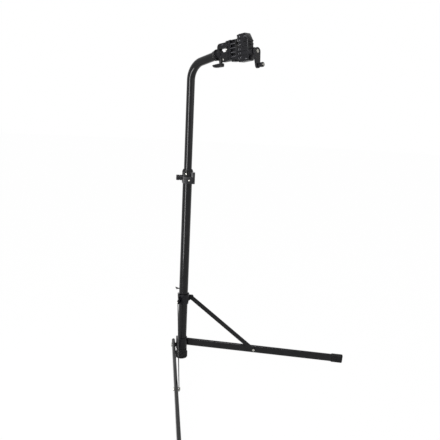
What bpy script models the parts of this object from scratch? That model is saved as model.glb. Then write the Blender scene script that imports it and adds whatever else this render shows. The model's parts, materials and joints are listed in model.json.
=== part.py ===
"""Portable bike work stand: a telescoping mast on two folding legs, with a clamp head on a bent arm.

Units are metres and +Z is up. The origin is the middle of the sole of the mast's rubber foot. The mast
stands along +Z, the arm points along -Y and the legs lie 40 degrees to either side of it.

Each moving group has an empty on its joint's axis, and the pieces of the group are parented to it. The
word "frame" below means such an empty. Frames of the legs, braces, arm and head have their local X along
the piece, so that most outlines are drawn in that frame's X and Z.
"""

import math

import bmesh
import bpy
from mathutils import Matrix, Vector

# General fits
GAP = 0.0003
THREAD_GAP = 0.0003
CUT_MARGIN = 0.002
WELD = 0.00001
ROUND_TUBE = 40
ROUND_LARGE = 32
ROUND_SMALL = 20

# Mast
MAST_RADIUS = 0.019
MAST_WALL = 0.0015
MAST_TOP = 0.797
UPPER_RADIUS = 0.016
UPPER_WALL = 0.0015
UPPER_BOTTOM = 0.530
BUSHING_LENGTH = 0.040
BUSHING_LIP = 0.0015
GLIDE_FLANGE = 0.009
GLIDE_SPIGOT = 0.020

# Arm
ARM_HEIGHT = 1.230
ARM_RISE = math.radians(12)
ARM_LENGTH = 0.1365
BEND_RADIUS = 0.069
BEND_STEPS = 10

# Mast foot
FOOT_RADIUS = 0.026
FOOT_NECK_RADIUS = 0.0225
FOOT_HEIGHT = 0.038
FOOT_STEP = 0.024
FOOT_FLOOR = 0.004
FOOT_CHAMFER = 0.002

# Legs
LEG_SPREAD = math.radians(80)
LEG_OFFSET = 0.036
LEG_PIVOT_HEIGHT = 0.055
LEG_TALL = 0.034
LEG_THICK = 0.014
LEG_WALL = 0.0015
LEG_TAIL = 0.020
LEG_REACH = 0.714
LEG_PLUG_CAP = 0.004
LEG_PLUG_SPIGOT = 0.010
CAP_TALL = 0.039
CAP_THICK = 0.019
CAP_LENGTH = 0.048
CAP_END = 0.0235
CAP_BEVEL = 0.0025
SOLE_CUT = 0.0008
SOLE_CUTTER_SIZE = 0.12

# Leg pivots
PIVOT_BOLT_RADIUS = 0.004
PIVOT_HEAD_RADIUS = 0.0085
PIVOT_HEAD_HEIGHT = 0.003
PIVOT_WASHER_RADIUS = 0.009
BRACKET_BOTTOM = 0.043
BRACKET_TOP = 0.092
BRACKET_RADIUS = 0.0225
BRACKET_FACE = 0.025
BRACKET_PAD_WIDTH = 0.026
BRACKET_PAD_BEVEL = 0.0015

# Braces
BRACE_OFFSET = 0.025
BRACE_LENGTH = 0.3647
BRACE_ON_LEG = 0.318
BRACE_ON_COLLAR = 0.033
BRACE_WIDTH = 0.019
BRACE_THICK = 0.003
BRACE_BOLT_RADIUS = 0.003
BRACE_HEAD_RADIUS = 0.0065
BRACE_HEAD_HEIGHT = 0.003
BRACE_NUT_RADIUS = 0.0058
BRACE_NUT_HEIGHT = 0.0032
RIVET_HEAD_HEIGHT = 0.0019

# Sliding collar, with heights counted from the brace pivots
COLLAR_TOP = 0.0265
COLLAR_BOTTOM = -0.0175
COLLAR_TOP_RADIUS = 0.025
COLLAR_BOTTOM_RADIUS = 0.0225
COLLAR_MOUTH_RADIUS = 0.0222
COLLAR_MOUTH_DEPTH = 0.008
EAR_THICK = 0.0032
EAR_TOP = 0.0145
EAR_BOTTOM = -0.014
EAR_TAIL = 0.006
EAR_TIP = 0.0085
GUIDE_SLOT_WIDTH = 0.0072
COLLAR_LEVER_AZIMUTH = math.radians(74)
COLLAR_PIN_RADIUS = 0.002
COLLAR_PIN_REACH = 0.0305
COLLAR_PIN_HEIGHT = 0.0024
COLLAR_LEVER_THICK = 0.007
COLLAR_LUG_THICK = 0.0027
COLLAR_LUG_SIZE = 0.015
COLLAR_WINDOW_DOWN = 0.013
COLLAR_WINDOW_UP = 0.0056

# Stop screw
STOP_AZIMUTH = math.radians(108)
STOP_ABOVE_COLLAR = 0.0176
STOP_RADIUS = 0.0025
STOP_TIP = 0.0177
STOP_WING_START = 0.028
STOP_WING_END = 0.041
STOP_WING_RISE = 0.0045

# Mast clamp, whose frame's X runs along the bolt, and whose heights count from the bolt's axis
CLAMP_AZIMUTH = math.radians(-46)
CLAMP_BOLT_BELOW_MAST_TOP = 0.002
CLAMP_DOWN = 0.023
CLAMP_UP = 0.033
CLAMP_RADIUS = 0.0225
CLAMP_LUG_LEFT = 0.017
CLAMP_LUG_RIGHT = 0.0137
CLAMP_LUG_FRONT = 0.034
CLAMP_LUG_UP = 0.023
CLAMP_LUG_BEVEL = 0.002
CLAMP_SLIT = 0.003
CLAMP_BOLT_OUT = 0.027
CLAMP_BOLT_RADIUS = 0.003
CLAMP_NUT_LENGTH = 0.0267
CLAMP_NUT_RADIUS = 0.011
CLAMP_NUT_FLOOR = 0.0017
CLAMP_PIN_RADIUS = 0.0025
CLAMP_BARREL_RADIUS = 0.0052
CLAMP_BARREL_HALF = 0.006
CLAMP_EYE_RADIUS = 0.0085
CLAMP_LEVER_REACH = 0.040
CLAMP_LEVER_THICK = 0.0058
CLAMP_LEVER_UP = 0.005

# Arm end and the spindle that the head turns on
SPINDLE_RADIUS = 0.010
SPINDLE_START = 0.100
SPINDLE_GROOVE_RADIUS = 0.0072
SPINDLE_GROOVE_WIDTH = 0.009
ARM_BUSHING_START = 0.0955
ARM_BUSHING_FLANGE = 0.004
ARM_BUSHING_FLANGE_RADIUS = 0.015
ARM_BOLT_PLACE = 0.130
ARM_BOLT_TURN = math.radians(12)
ARM_BOLT_RADIUS = 0.004
ARM_BOLT_HEAD_RADIUS = 0.0055
ARM_BOLT_HEAD_HEIGHT = 0.0025
ARM_BOLT_TIP = 0.0076

# Head, whose frame's X runs out through the jaws and Z up
HEAD_ORIGIN = 0.1372
HEAD_LIFT = 0.005
HEAD_RISE = math.radians(5)
HEAD_ROLL = math.radians(5)
NECK_RADIUS = 0.013
NECK_END = 0.160
NECK_WEB = 0.0025
YOKE_THICK = 0.016
YOKE_TOP = 0.031
YOKE_BOTTOM = 0.0345
YOKE_START = 0.0075
YOKE_NECK_HALF = 0.0115
YOKE_LOWER_START = 0.0265
YOKE_CORNER = 0.004
YOKE_TOP_SLOPE = ((0.013, 0), (0.007, 0.0025), (0.003, 0.008))
YOKE_NECK_SLOPE = ((0.0025, 0.001), (0, 0.003))
YOKE_PLATE = 0.060
YOKE_PLATE_THICK = 0.007
YOKE_PLATE_WIDTH = 0.036
YOKE_PLATE_HALF_HEIGHT = 0.0335
WINDOW_START = 0.019
WINDOW_END = 0.059
WINDOW_BOTTOM = -0.001
WINDOW_TOP = 0.0125
WINDOW_CORNER = 0.004
SCREW_BARREL_RADIUS = 0.0085
YOKE_PIN_PLACE = 0.0466
YOKE_PIN_RADIUS = 0.0015
YOKE_PIN_SEAT = 0.0018

# Jaws
JAW_BASE_THICK = 0.0055
JAW_BASE_WIDTH = 0.033
JAW_BASE_HEIGHT = 0.067
JAW_FLANGE_THICK = 0.006
JAW_FLANGE_WIDTH = 0.034
JAW_FLANGE_HEIGHT = 0.069
JAW_WIDTH = 0.030
FIXED_JAW_FACE = 0.110
FIXED_JAW_BOTTOM = -0.035
FIXED_JAW_TOP = 0.0325
KEEL_END = 0.0937
KEEL_DEPTH = 0.005
KEEL_WIDTH = 0.026
KEEL_NOTCH_PLACE = 0.083
KEEL_NOTCH_WIDTH = 0.003
KEEL_NOTCH_DEPTH = 0.003
JAW_OPENING = 0.0013
MOVING_JAW_BACK = 0.159
MOVING_JAW_HALF_HEIGHT = 0.046
JAW_SLOPE_LENGTH = 0.011
JAW_SLOPE_HEIGHT = 0.023
JAW_CORNER = 0.003
PAD_THICK = 0.0067
PAD_BOTTOM = 0.002
PAD_GROOVE_HEIGHT = 0.018
PAD_GROOVE_HALF_WIDTH = 0.010
PAD_GROOVE_DEPTH = 0.0045
FIXED_SLOT_COUNT = 4
FIXED_SLOT_FIRST = -0.0166
FIXED_SLOT_STEP = 0.0143
FIXED_SLOT_TALL = 0.0086
FIXED_SLOT_DEPTH = 0.008
FIXED_SLOT_MARGIN = 0.0015
MOVING_SLOT_COUNT = 5
MOVING_SLOT_FIRST = -0.0268
MOVING_SLOT_STEP = 0.0143
MOVING_SLOT_TALL = 0.0034
MOVING_SLOT_DEPTH = 0.0035
MOVING_SLOT_START = 0.119
MOVING_SLOT_END = 0.153
JAW_RIB_HEIGHTS = (0.0075, 0.018)
JAW_RIB_THICK = 0.003
JAW_RIB_REACH = 0.007
JAW_BOSS_RADIUS = 0.0145
JAW_BOSS_LENGTH = 0.014
JAW_BOLT_RADIUS = 0.0025
JAW_BOLT_SIDE = 0.013
JAW_BOLT_HEAD_RADIUS = 0.004
JAW_BOLT_HEAD_HEIGHT = 0.004
JAW_BOLT_DEPTH = 0.010

# Guide rod and lead screw
GUIDE_ROD_RADIUS = 0.003
GUIDE_ROD_HEIGHT = -0.0295
GUIDE_ROD_START = 0.025
GUIDE_ROD_END = 0.1495
SCREW_RADIUS = 0.004
SCREW_HEIGHT = -0.019
SCREW_START = 0.0265
SCREW_SEAT_RADIUS = 0.0033
SCREW_NUT_RADIUS = 0.006
SCREW_NUT_LENGTH = 0.029
SCREW_COLLAR_RADIUS = 0.007
SCREW_COLLAR_THICK = 0.003

# Crank
CRANK_HUB_RADIUS = 0.011
CRANK_HUB_LENGTH = 0.0055
CRANK_THICK = 0.0088
CRANK_EYE_RADIUS = 0.0155
CRANK_EYE_FLATNESS = 0.82
CRANK_END_RADIUS = 0.0097
CRANK_LENGTH = 0.0465
CRANK_BOLT_RADIUS = 0.002
CRANK_BOLT_HEAD_RADIUS = 0.006
CRANK_BOLT_HEAD_HEIGHT = 0.0035
CRANK_BOLT_DEPTH = 0.012
CRANK_BOLT_SINK = 0.0032
KNOB_RADIUS = 0.0082
KNOB_LENGTH = 0.0205
KNOB_SCREW_RADIUS = 0.0025
KNOB_SCREW_DEPTH = 0.008
KNOB_SCREW_HEAD_RADIUS = 0.0045
KNOB_SCREW_HEAD_HEIGHT = 0.003

# Head lock lever
LOCK_PLACE = 0.016
LOCK_STEM_RADIUS = 0.0065
LOCK_STEM_TOP = -0.0179
LOCK_STEM_BOTTOM = -0.036
LOCK_SHANK_RADIUS = 0.004
LOCK_SHANK_TOP = -0.0136
LOCK_LEVER_REACH = 0.0375
LOCK_LEVER_BACK = 0.009
LOCK_LEVER_TALL = 0.013
LOCK_LEVER_THICK = 0.016

# Derived places
LEG_SLOPE = math.asin((LEG_PIVOT_HEIGHT - CAP_TALL / 2 + SOLE_CUT) / LEG_REACH)
LEG_TUBE_END = LEG_REACH - CAP_END
BRACE_FOOT_OUT = BRACE_ON_LEG * math.cos(LEG_SLOPE)
BRACE_FOOT_UP = LEG_PIVOT_HEIGHT - BRACE_ON_LEG * math.sin(LEG_SLOPE)
BRACE_RUN = BRACE_FOOT_OUT - BRACE_ON_COLLAR
BRACE_RISE = math.sqrt(BRACE_LENGTH**2 - BRACE_RUN**2)
BRACE_SLOPE = math.atan2(BRACE_RISE, BRACE_RUN)
COLLAR_HEIGHT = BRACE_FOOT_UP + BRACE_RISE
STOP_HEIGHT = COLLAR_HEIGHT + COLLAR_TOP + STOP_ABOVE_COLLAR
CLAMP_BOLT_HEIGHT = MAST_TOP - CLAMP_BOLT_BELOW_MAST_TOP
CLAMP_BOTTOM = CLAMP_BOLT_HEIGHT - CLAMP_DOWN
CLAMP_TOP = CLAMP_BOLT_HEIGHT + CLAMP_UP
FIXED_JAW_START = YOKE_PLATE + YOKE_PLATE_THICK + GAP
MOVING_JAW_FACE = FIXED_JAW_FACE + JAW_OPENING
JAW_FLANGE_START = FIXED_JAW_START + JAW_BASE_THICK
JAW_BOX_START = JAW_FLANGE_START + JAW_FLANGE_THICK
CRANK_HUB_START = MOVING_JAW_BACK + JAW_BOSS_LENGTH + GAP
CRANK_PLATE_START = CRANK_HUB_START + CRANK_HUB_LENGTH
CRANK_FACE = CRANK_PLATE_START + CRANK_THICK


def new_collection(name):
    """Adds a collection to the scene."""
    collection = bpy.data.collections.new(name)
    bpy.context.scene.collection.children.link(collection)
    return collection


def new_material(name, colour, roughness, metallic):
    """Makes a Principled material of one plain colour."""
    material = bpy.data.materials.new(name)
    material.use_nodes = True
    shader = material.node_tree.nodes["Principled BSDF"]
    shader.inputs["Base Color"].default_value = (*colour, 1)
    shader.inputs["Roughness"].default_value = roughness
    shader.inputs["Metallic"].default_value = metallic
    material.diffuse_color = (*colour, 1)
    return material


for old in list(bpy.data.objects):
    bpy.data.objects.remove(old, do_unlink=True)
PARTS = new_collection("portable_bike_stand")
TOOLS = new_collection("construction_shapes")

FINISHES = {
    "mast_paint": ((0.030, 0.030, 0.034), 0.30, 0.2),
    "arm_paint": ((0.012, 0.012, 0.013), 0.12, 0.1),
    "steel": ((0.70, 0.69, 0.66), 0.30, 1.0),
    "plastic": ((0.022, 0.022, 0.025), 0.42, 0.0),
    "casting": ((0.050, 0.050, 0.056), 0.38, 0.3),
    "rubber": ((0.016, 0.016, 0.017), 0.85, 0.0),
}


def frame(name, parent=None, location=(0, 0, 0), rotation=(0, 0, 0)):
    """Adds an empty that carries one moving group or one local set of axes."""
    empty = bpy.data.objects.new(name, None)
    empty.empty_display_size = 0.03
    empty.parent = parent
    empty.location = location
    empty.rotation_euler = rotation
    TOOLS.objects.link(empty)
    return empty


def place(shape, parent, location=(0, 0, 0), rotation=(0, 0, 0)):
    """Sets a shape's parent and its place in that parent's axes."""
    shape.parent = parent
    shape.location = location
    shape.rotation_euler = rotation
    return shape


def part(shape, finish):
    """Puts a shape among the parts, with a material of its own."""
    PARTS.objects.link(shape)
    shape.data.materials.append(new_material(f"{shape.name}_{finish}", *FINISHES[finish]))
    return shape


def combine(target, operand, operation):
    """Adds a Boolean of one construction shape to a target."""
    TOOLS.objects.link(operand)
    operand.hide_render = True
    operand.display_type = "WIRE"
    boolean = target.modifiers.new(operand.name, "BOOLEAN")
    boolean.operation = operation
    boolean.solver = "EXACT"
    boolean.object = operand


def join(target, *operands):
    """Unites construction shapes with a target."""
    for operand in operands:
        combine(target, operand, "UNION")


def cut(target, *operands):
    """Cuts construction shapes out of a target."""
    for operand in operands:
        combine(target, operand, "DIFFERENCE")


def mesh_shape(name, mesh_builder):
    """Makes an object from a bmesh, shaded smooth with its hard edges sharp."""
    mesh = bpy.data.meshes.new(name)
    mesh_builder.to_mesh(mesh)
    mesh_builder.free()
    mesh.shade_smooth()
    mesh.set_sharp_from_angle(angle=math.radians(35))
    return bpy.data.objects.new(name, mesh)


def box(name, low, high, bevel=0):
    """Makes a box between two corners, with rounded edges if a bevel is given."""
    size = Vector(high) - Vector(low)
    middle = (Vector(high) + Vector(low)) / 2
    shape = bmesh.new()
    bmesh.ops.create_cube(shape, size=1, matrix=Matrix.Translation(middle) @ Matrix.Diagonal((*size, 1)))
    result = mesh_shape(name, shape)
    if bevel:
        round_edges(result, bevel)
    return result


def round_edges(shape, width, segments=2):
    """Adds a Bevel that rounds every hard edge."""
    bevel = shape.modifiers.new("rounded_edges", "BEVEL")
    bevel.width = width
    bevel.segments = segments
    bevel.limit_method = "ANGLE"
    bevel.angle_limit = math.radians(40)


def rod(name, radius, start, end, sides=ROUND_LARGE):
    """Makes a cylinder between two points."""
    along = Vector(end) - Vector(start)
    turn = Vector((0, 0, 1)).rotation_difference(along).to_matrix().to_4x4()
    middle = Matrix.Translation((Vector(start) + Vector(end)) / 2)
    shape = bmesh.new()
    bmesh.ops.create_cone(
        shape,
        cap_ends=True,
        segments=sides,
        radius1=radius,
        radius2=radius,
        depth=along.length,
        matrix=middle @ turn,
    )
    return mesh_shape(name, shape)


def turned(name, profile, sides=ROUND_LARGE):
    """Makes a turned piece about Z from (radius, height) points that run down its outer side."""
    mesh = bpy.data.meshes.new(name)
    points = [(radius, 0, height) for radius, height in profile]
    edges = [(i, i + 1) for i in range(len(points) - 1)]
    on_axis = profile[0][0] == 0 and profile[-1][0] == 0
    if not on_axis:
        edges.append((len(points) - 1, 0))
    mesh.from_pydata(points, edges, [])
    shape = bpy.data.objects.new(name, mesh)
    screw = shape.modifiers.new("turned", "SCREW")
    screw.axis = "Z"
    screw.angle = 2 * math.pi
    screw.steps = sides
    screw.render_steps = sides
    screw.use_merge_vertices = True
    screw.merge_threshold = 0.00001
    screw.use_smooth_shade = True
    return shape


def ring_profile(inner, outer, bottom, top):
    """Lists the profile of a plain ring."""
    return [(outer, top), (outer, bottom), (inner, bottom), (inner, top)]


def arc(centre, radius, start, end, steps):
    """Lists points along an arc, with angles in degrees."""
    points = []
    for i in range(steps + 1):
        angle = math.radians(start + (end - start) * i / steps)
        points.append((centre[0] + radius * math.cos(angle), centre[1] + radius * math.sin(angle)))
    return points


def rounded_rectangle(width, height, radius, steps):
    """Lists the outline of a rectangle with round corners about the origin."""
    x = width / 2 - radius
    y = height / 2 - radius
    corners = [((x, y), 0), ((-x, y), 90), ((-x, -y), 180), ((x, -y), 270)]
    return [point for centre, start in corners for point in arc(centre, radius, start, start + 90, steps)]


def capsule(length, start_radius, end_radius, steps):
    """Lists the outline round a bar from the origin to (length, 0), with round ends."""
    return arc((0, 0), start_radius, 90, 270, steps) + arc((length, 0), end_radius, -90, 90, steps)


EXTRUDE_TURNS = {
    "X": Matrix(((0, 0, 1), (1, 0, 0), (0, 1, 0))).to_4x4(),
    "Y": Matrix(((1, 0, 0), (0, 0, -1), (0, 1, 0))).to_4x4(),
    "Z": Matrix.Identity(4),
}


def extruded(name, outlines, axis, low, high):
    """Extrudes closed outlines, of which the inner ones are holes, along X, Y or Z.

    The outlines are drawn in YZ for X, in XZ for Y and in XY for Z.
    """
    curve = bpy.data.curves.new(name, "CURVE")
    curve.dimensions = "2D"
    curve.fill_mode = "BOTH"
    curve.extrude = (high - low) / 2
    for outline in outlines:
        spline = curve.splines.new("POLY")
        spline.points.add(len(outline) - 1)
        spline.use_cyclic_u = True
        for point, (x, y) in zip(spline.points, outline):
            point.co = (x, y, 0, 1)
    shape = mesh_from_curve(name, curve)
    shift = {"X": (1, 0, 0), "Y": (0, 1, 0), "Z": (0, 0, 1)}[axis]
    middle = Vector(shift) * ((low + high) / 2)
    shape.data.transform(Matrix.Translation(middle) @ EXTRUDE_TURNS[axis])
    return shape


def mesh_from_curve(name, curve):
    """Turns a filled curve into a mesh with welded caps, and removes the curve."""
    source = bpy.data.objects.new(f"{name}_curve", curve)
    bpy.context.scene.collection.objects.link(source)
    graph = bpy.context.evaluated_depsgraph_get()
    mesh = bpy.data.meshes.new_from_object(source.evaluated_get(graph))
    shape = bmesh.new()
    shape.from_mesh(mesh)
    bmesh.ops.remove_doubles(shape, verts=shape.verts, dist=WELD)
    bmesh.ops.recalc_face_normals(shape, faces=shape.faces)
    result = mesh_shape(name, shape)
    result.matrix_world = source.matrix_world
    bpy.data.objects.remove(source, do_unlink=True)
    bpy.data.meshes.remove(mesh)
    return result


def round_skin(name, points, radius, sides):
    """Makes an open round skin along a path of points."""
    curve = bpy.data.curves.new(name, "CURVE")
    curve.dimensions = "3D"
    curve.bevel_depth = radius
    curve.bevel_resolution = (sides - 4) // 2
    spline = curve.splines.new("POLY")
    spline.points.add(len(points) - 1)
    for point, place_on_path in zip(spline.points, points):
        point.co = (*place_on_path, 1)
    return mesh_from_curve(name, curve)


def bent_tube(name, points, radius, wall, sides):
    """Makes a round tube along a path of points, its wall closed at both ends."""
    shape = bmesh.new()
    for reach in (radius, radius - wall):
        skin = round_skin(f"{name}_skin", points, reach, sides)
        shape.from_mesh(skin.data)
        bpy.data.objects.remove(skin)
    inward = 1 - wall / radius
    for end in (points[0], points[-1]):
        rim = []
        for edge in shape.edges:
            if edge.is_boundary and abs((edge.verts[0].co - end).length - radius) < wall / 2:
                rim.append(edge)
        grown = bmesh.ops.extrude_edge_only(shape, edges=rim)["geom"]
        moved = [item for item in grown if isinstance(item, bmesh.types.BMVert)]
        bmesh.ops.scale(shape, vec=(inward, inward, inward), space=Matrix.Translation(-end), verts=moved)
    bmesh.ops.remove_doubles(shape, verts=shape.verts, dist=WELD)
    bmesh.ops.recalc_face_normals(shape, faces=shape.faces)
    return mesh_shape(name, shape)


def headed(head_radius, head_height, shank_radius, shank_length):
    """Lists the profile of a low-headed bolt, its head standing on height 0."""
    edge = head_height * 0.45
    return [
        (0, head_height),
        (head_radius - edge, head_height),
        (head_radius, head_height - edge),
        (head_radius, 0),
        (shank_radius, 0),
        (shank_radius, -shank_length),
        (0, -shank_length),
    ]


def radial(azimuth, distance, height=0):
    """Gives the point at a distance from the mast's axis in a compass direction."""
    return Vector((distance * math.cos(azimuth), distance * math.sin(azimuth), height))


def along_arm(distance):
    """Gives the point at a distance from the mast's axis along the arm's centre line."""
    return Vector((0, -distance * math.cos(ARM_RISE), ARM_HEIGHT + distance * math.sin(ARM_RISE)))


FRONT = -math.pi / 2
TURN_Z_TO_X = (0, math.pi / 2, 0)


def build_foot_and_mast(stand):
    """Builds the rubber foot, the lower tube, its bushing and the stop screw."""
    bore = MAST_RADIUS + GAP
    foot = turned(
        "mast_foot",
        [
            (0, FOOT_FLOOR),
            (bore, FOOT_FLOOR),
            (bore, FOOT_HEIGHT),
            (FOOT_NECK_RADIUS, FOOT_HEIGHT),
            (FOOT_NECK_RADIUS, FOOT_STEP + FOOT_CHAMFER),
            (FOOT_RADIUS - FOOT_CHAMFER, FOOT_STEP),
            (FOOT_RADIUS, FOOT_STEP - FOOT_CHAMFER),
            (FOOT_RADIUS, FOOT_CHAMFER),
            (FOOT_RADIUS - FOOT_CHAMFER, 0),
            (0, 0),
        ],
        ROUND_TUBE,
    )
    part(place(foot, stand), "rubber")

    mast_bore = MAST_RADIUS - MAST_WALL
    mast = turned("lower_mast", ring_profile(mast_bore, MAST_RADIUS, FOOT_FLOOR + GAP, MAST_TOP), ROUND_TUBE)
    stop_hole = rod(
        "stop_screw_hole",
        STOP_RADIUS + GAP,
        radial(STOP_AZIMUTH, mast_bore - CUT_MARGIN, STOP_HEIGHT),
        radial(STOP_AZIMUTH, MAST_RADIUS + CUT_MARGIN, STOP_HEIGHT),
        ROUND_SMALL,
    )
    cut(mast, place(stop_hole, stand))
    part(place(mast, stand), "mast_paint")

    sleeve = mast_bore - GAP
    slide = UPPER_RADIUS + GAP
    lip_bottom = MAST_TOP + GAP
    bushing = turned(
        "mast_bushing",
        [
            (MAST_RADIUS, lip_bottom + BUSHING_LIP),
            (MAST_RADIUS, lip_bottom),
            (sleeve, lip_bottom),
            (sleeve, MAST_TOP - BUSHING_LENGTH),
            (slide, MAST_TOP - BUSHING_LENGTH),
            (slide, lip_bottom + BUSHING_LIP),
        ],
        ROUND_TUBE,
    )
    part(place(bushing, stand), "plastic")

    screw_frame = frame("stop_screw_frame", stand, (0, 0, STOP_HEIGHT), (0, 0, STOP_AZIMUTH))
    screw = rod("stop_screw", STOP_RADIUS, (STOP_TIP, 0, 0), (STOP_WING_START + GAP, 0, 0), ROUND_SMALL)
    wing = [
        (STOP_WING_START, -STOP_RADIUS),
        (STOP_WING_START + 0.003, -STOP_WING_RISE),
        (STOP_WING_END - 0.006, -STOP_WING_RISE),
        (STOP_WING_END, STOP_WING_RISE - 0.001),
        (STOP_WING_END - 0.003, STOP_WING_RISE),
        (STOP_WING_START + 0.003, STOP_RADIUS + 0.0006),
        (STOP_WING_START, STOP_RADIUS),
    ]
    plate = extruded("stop_screw_wing", [wing], "Y", -STOP_RADIUS / 2, STOP_RADIUS / 2)
    join(screw, place(plate, screw_frame))
    part(place(screw, screw_frame), "casting")


def build_bracket(stand):
    """Builds the block round the mast's bottom that carries both leg pivots."""
    bracket = rod("leg_bracket", BRACKET_RADIUS, (0, 0, BRACKET_BOTTOM), (0, 0, BRACKET_TOP), ROUND_TUBE)
    for name, side in SIDES:
        pad_frame = frame(f"bracket_{name}_frame", stand, (0, 0, 0), (0, 0, leg_normal(side)))
        pad = box(
            f"bracket_pad_{name}",
            (MAST_RADIUS / 2, -BRACKET_PAD_WIDTH / 2, BRACKET_BOTTOM + GAP),
            (BRACKET_FACE, BRACKET_PAD_WIDTH / 2, BRACKET_TOP - GAP),
            BRACKET_PAD_BEVEL,
        )
        join(bracket, place(pad, pad_frame))
    bore = rod(
        "bracket_bore",
        MAST_RADIUS + GAP,
        (0, 0, BRACKET_BOTTOM - CUT_MARGIN),
        (0, 0, BRACKET_TOP + CUT_MARGIN),
        ROUND_TUBE,
    )
    cut(bracket, place(bore, stand))
    for name, side in SIDES:
        hole = rod(
            f"bracket_bolt_hole_{name}",
            PIVOT_BOLT_RADIUS + THREAD_GAP,
            radial(leg_normal(side), MAST_RADIUS / 2, LEG_PIVOT_HEIGHT),
            radial(leg_normal(side), BRACKET_FACE + CUT_MARGIN, LEG_PIVOT_HEIGHT),
            ROUND_SMALL,
        )
        cut(bracket, place(hole, stand))
    part(place(bracket, stand), "plastic")


SIDES = (("right", 1), ("left", -1))


def leg_direction(side):
    """Gives the compass direction that a leg points in."""
    return FRONT + side * LEG_SPREAD / 2


def leg_normal(side):
    """Gives the compass direction that a leg's outer side faces."""
    return FRONT + side * (LEG_SPREAD / 2 + math.pi / 2)


def leg_outline(tall, thick, steps=5):
    """Lists a flat oval, thin along Y and tall along Z."""
    return rounded_rectangle(thick, tall, thick / 2, steps)


def build_leg(stand, name, side):
    """Builds one leg with its plug, foot cap, pivot bolt and the bolt of its brace."""
    outward = side
    leg = frame(
        f"leg_{name}_fold",
        stand,
        radial(leg_normal(side), LEG_OFFSET, LEG_PIVOT_HEIGHT),
        (0, LEG_SLOPE, leg_direction(side)),
    )
    face_out = (-side * math.pi / 2, 0, 0)
    half = LEG_THICK / 2

    inside = (LEG_TALL - 2 * LEG_WALL, LEG_THICK - 2 * LEG_WALL)
    tube = extruded(
        f"leg_tube_{name}",
        [leg_outline(LEG_TALL, LEG_THICK), leg_outline(*inside)],
        "X",
        -LEG_TAIL,
        LEG_TUBE_END,
    )
    for label, place_on_leg, radius in (
        ("pivot", 0, PIVOT_BOLT_RADIUS + GAP),
        ("brace", BRACE_ON_LEG, BRACE_BOLT_RADIUS + GAP),
    ):
        hole = rod(
            f"leg_{label}_hole_{name}",
            radius,
            (place_on_leg, -LEG_THICK, 0),
            (place_on_leg, LEG_THICK, 0),
            ROUND_SMALL,
        )
        cut(tube, place(hole, leg))
    part(place(tube, leg), "mast_paint")

    plug_end = -LEG_TAIL - GAP
    plug = extruded(
        f"leg_plug_{name}", [leg_outline(LEG_TALL, LEG_THICK)], "X", plug_end - LEG_PLUG_CAP, plug_end
    )
    round_edges(plug, LEG_PLUG_CAP / 3)
    spigot = extruded(
        f"leg_plug_spigot_{name}",
        [leg_outline(inside[0] - 2 * GAP, inside[1] - 2 * GAP)],
        "X",
        plug_end - LEG_PLUG_CAP / 2,
        plug_end + LEG_PLUG_SPIGOT,
    )
    join(plug, place(spigot, leg))
    part(place(plug, leg), "plastic")

    cap_outline = leg_outline(CAP_TALL, CAP_THICK)
    cap = extruded(f"leg_foot_{name}", [cap_outline], "X", LEG_REACH - CAP_LENGTH, LEG_REACH)
    round_edges(cap, CAP_BEVEL)
    pocket = extruded(
        f"leg_foot_pocket_{name}",
        [leg_outline(LEG_TALL + 2 * GAP, LEG_THICK + 2 * GAP)],
        "X",
        LEG_REACH - CAP_LENGTH - CUT_MARGIN,
        LEG_TUBE_END + GAP,
    )
    cut(cap, place(pocket, leg))
    sole_middle = radial(leg_normal(side), LEG_OFFSET) + radial(leg_direction(side), LEG_REACH)
    ground = box(
        f"ground_{name}",
        (-SOLE_CUTTER_SIZE, -SOLE_CUTTER_SIZE, -SOLE_CUTTER_SIZE),
        (SOLE_CUTTER_SIZE, SOLE_CUTTER_SIZE, 0),
    )
    cut(cap, place(ground, stand, sole_middle))
    part(place(cap, leg), "rubber")

    bolt_length = half + GAP + LEG_OFFSET - MAST_RADIUS - 2 * GAP
    bolt = turned(
        f"leg_pivot_bolt_{name}",
        headed(PIVOT_HEAD_RADIUS, PIVOT_HEAD_HEIGHT, PIVOT_BOLT_RADIUS, bolt_length),
        ROUND_SMALL,
    )
    part(place(bolt, leg, (0, outward * (half + GAP), 0), face_out), "steel")

    washer_thick = LEG_OFFSET - half - BRACKET_FACE - 2 * GAP
    washer = turned(
        f"leg_washer_{name}",
        ring_profile(PIVOT_BOLT_RADIUS + GAP, PIVOT_WASHER_RADIUS, -washer_thick, 0),
        ROUND_SMALL,
    )
    part(place(washer, leg, (0, -outward * (half + GAP), 0), face_out), "plastic")

    spacer_thick = LEG_OFFSET - half - BRACE_OFFSET - BRACE_THICK / 2 - 2 * GAP
    spacer = turned(
        f"brace_spacer_{name}",
        ring_profile(BRACE_BOLT_RADIUS + GAP, BRACE_HEAD_RADIUS, -spacer_thick, 0),
        ROUND_SMALL,
    )
    part(place(spacer, leg, (BRACE_ON_LEG, -outward * (half + GAP), 0), face_out), "steel")

    nut_start = LEG_OFFSET - BRACE_OFFSET + BRACE_THICK / 2 + GAP
    brace_bolt = turned(
        f"brace_bolt_{name}",
        headed(
            BRACE_HEAD_RADIUS,
            BRACE_HEAD_HEIGHT,
            BRACE_BOLT_RADIUS,
            half + GAP + nut_start + BRACE_NUT_HEIGHT + GAP,
        ),
        ROUND_SMALL,
    )
    part(place(brace_bolt, leg, (BRACE_ON_LEG, outward * (half + GAP), 0), face_out), "steel")

    nut = extruded(
        f"brace_nut_{name}",
        [arc((0, 0), BRACE_NUT_RADIUS, 0, 300, 5), arc((0, 0), BRACE_BOLT_RADIUS + THREAD_GAP, 0, 337.5, 15)],
        "Z",
        -BRACE_NUT_HEIGHT,
        0,
    )
    part(place(nut, leg, (BRACE_ON_LEG, -outward * nut_start, 0), face_out), "steel")
    return leg


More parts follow.
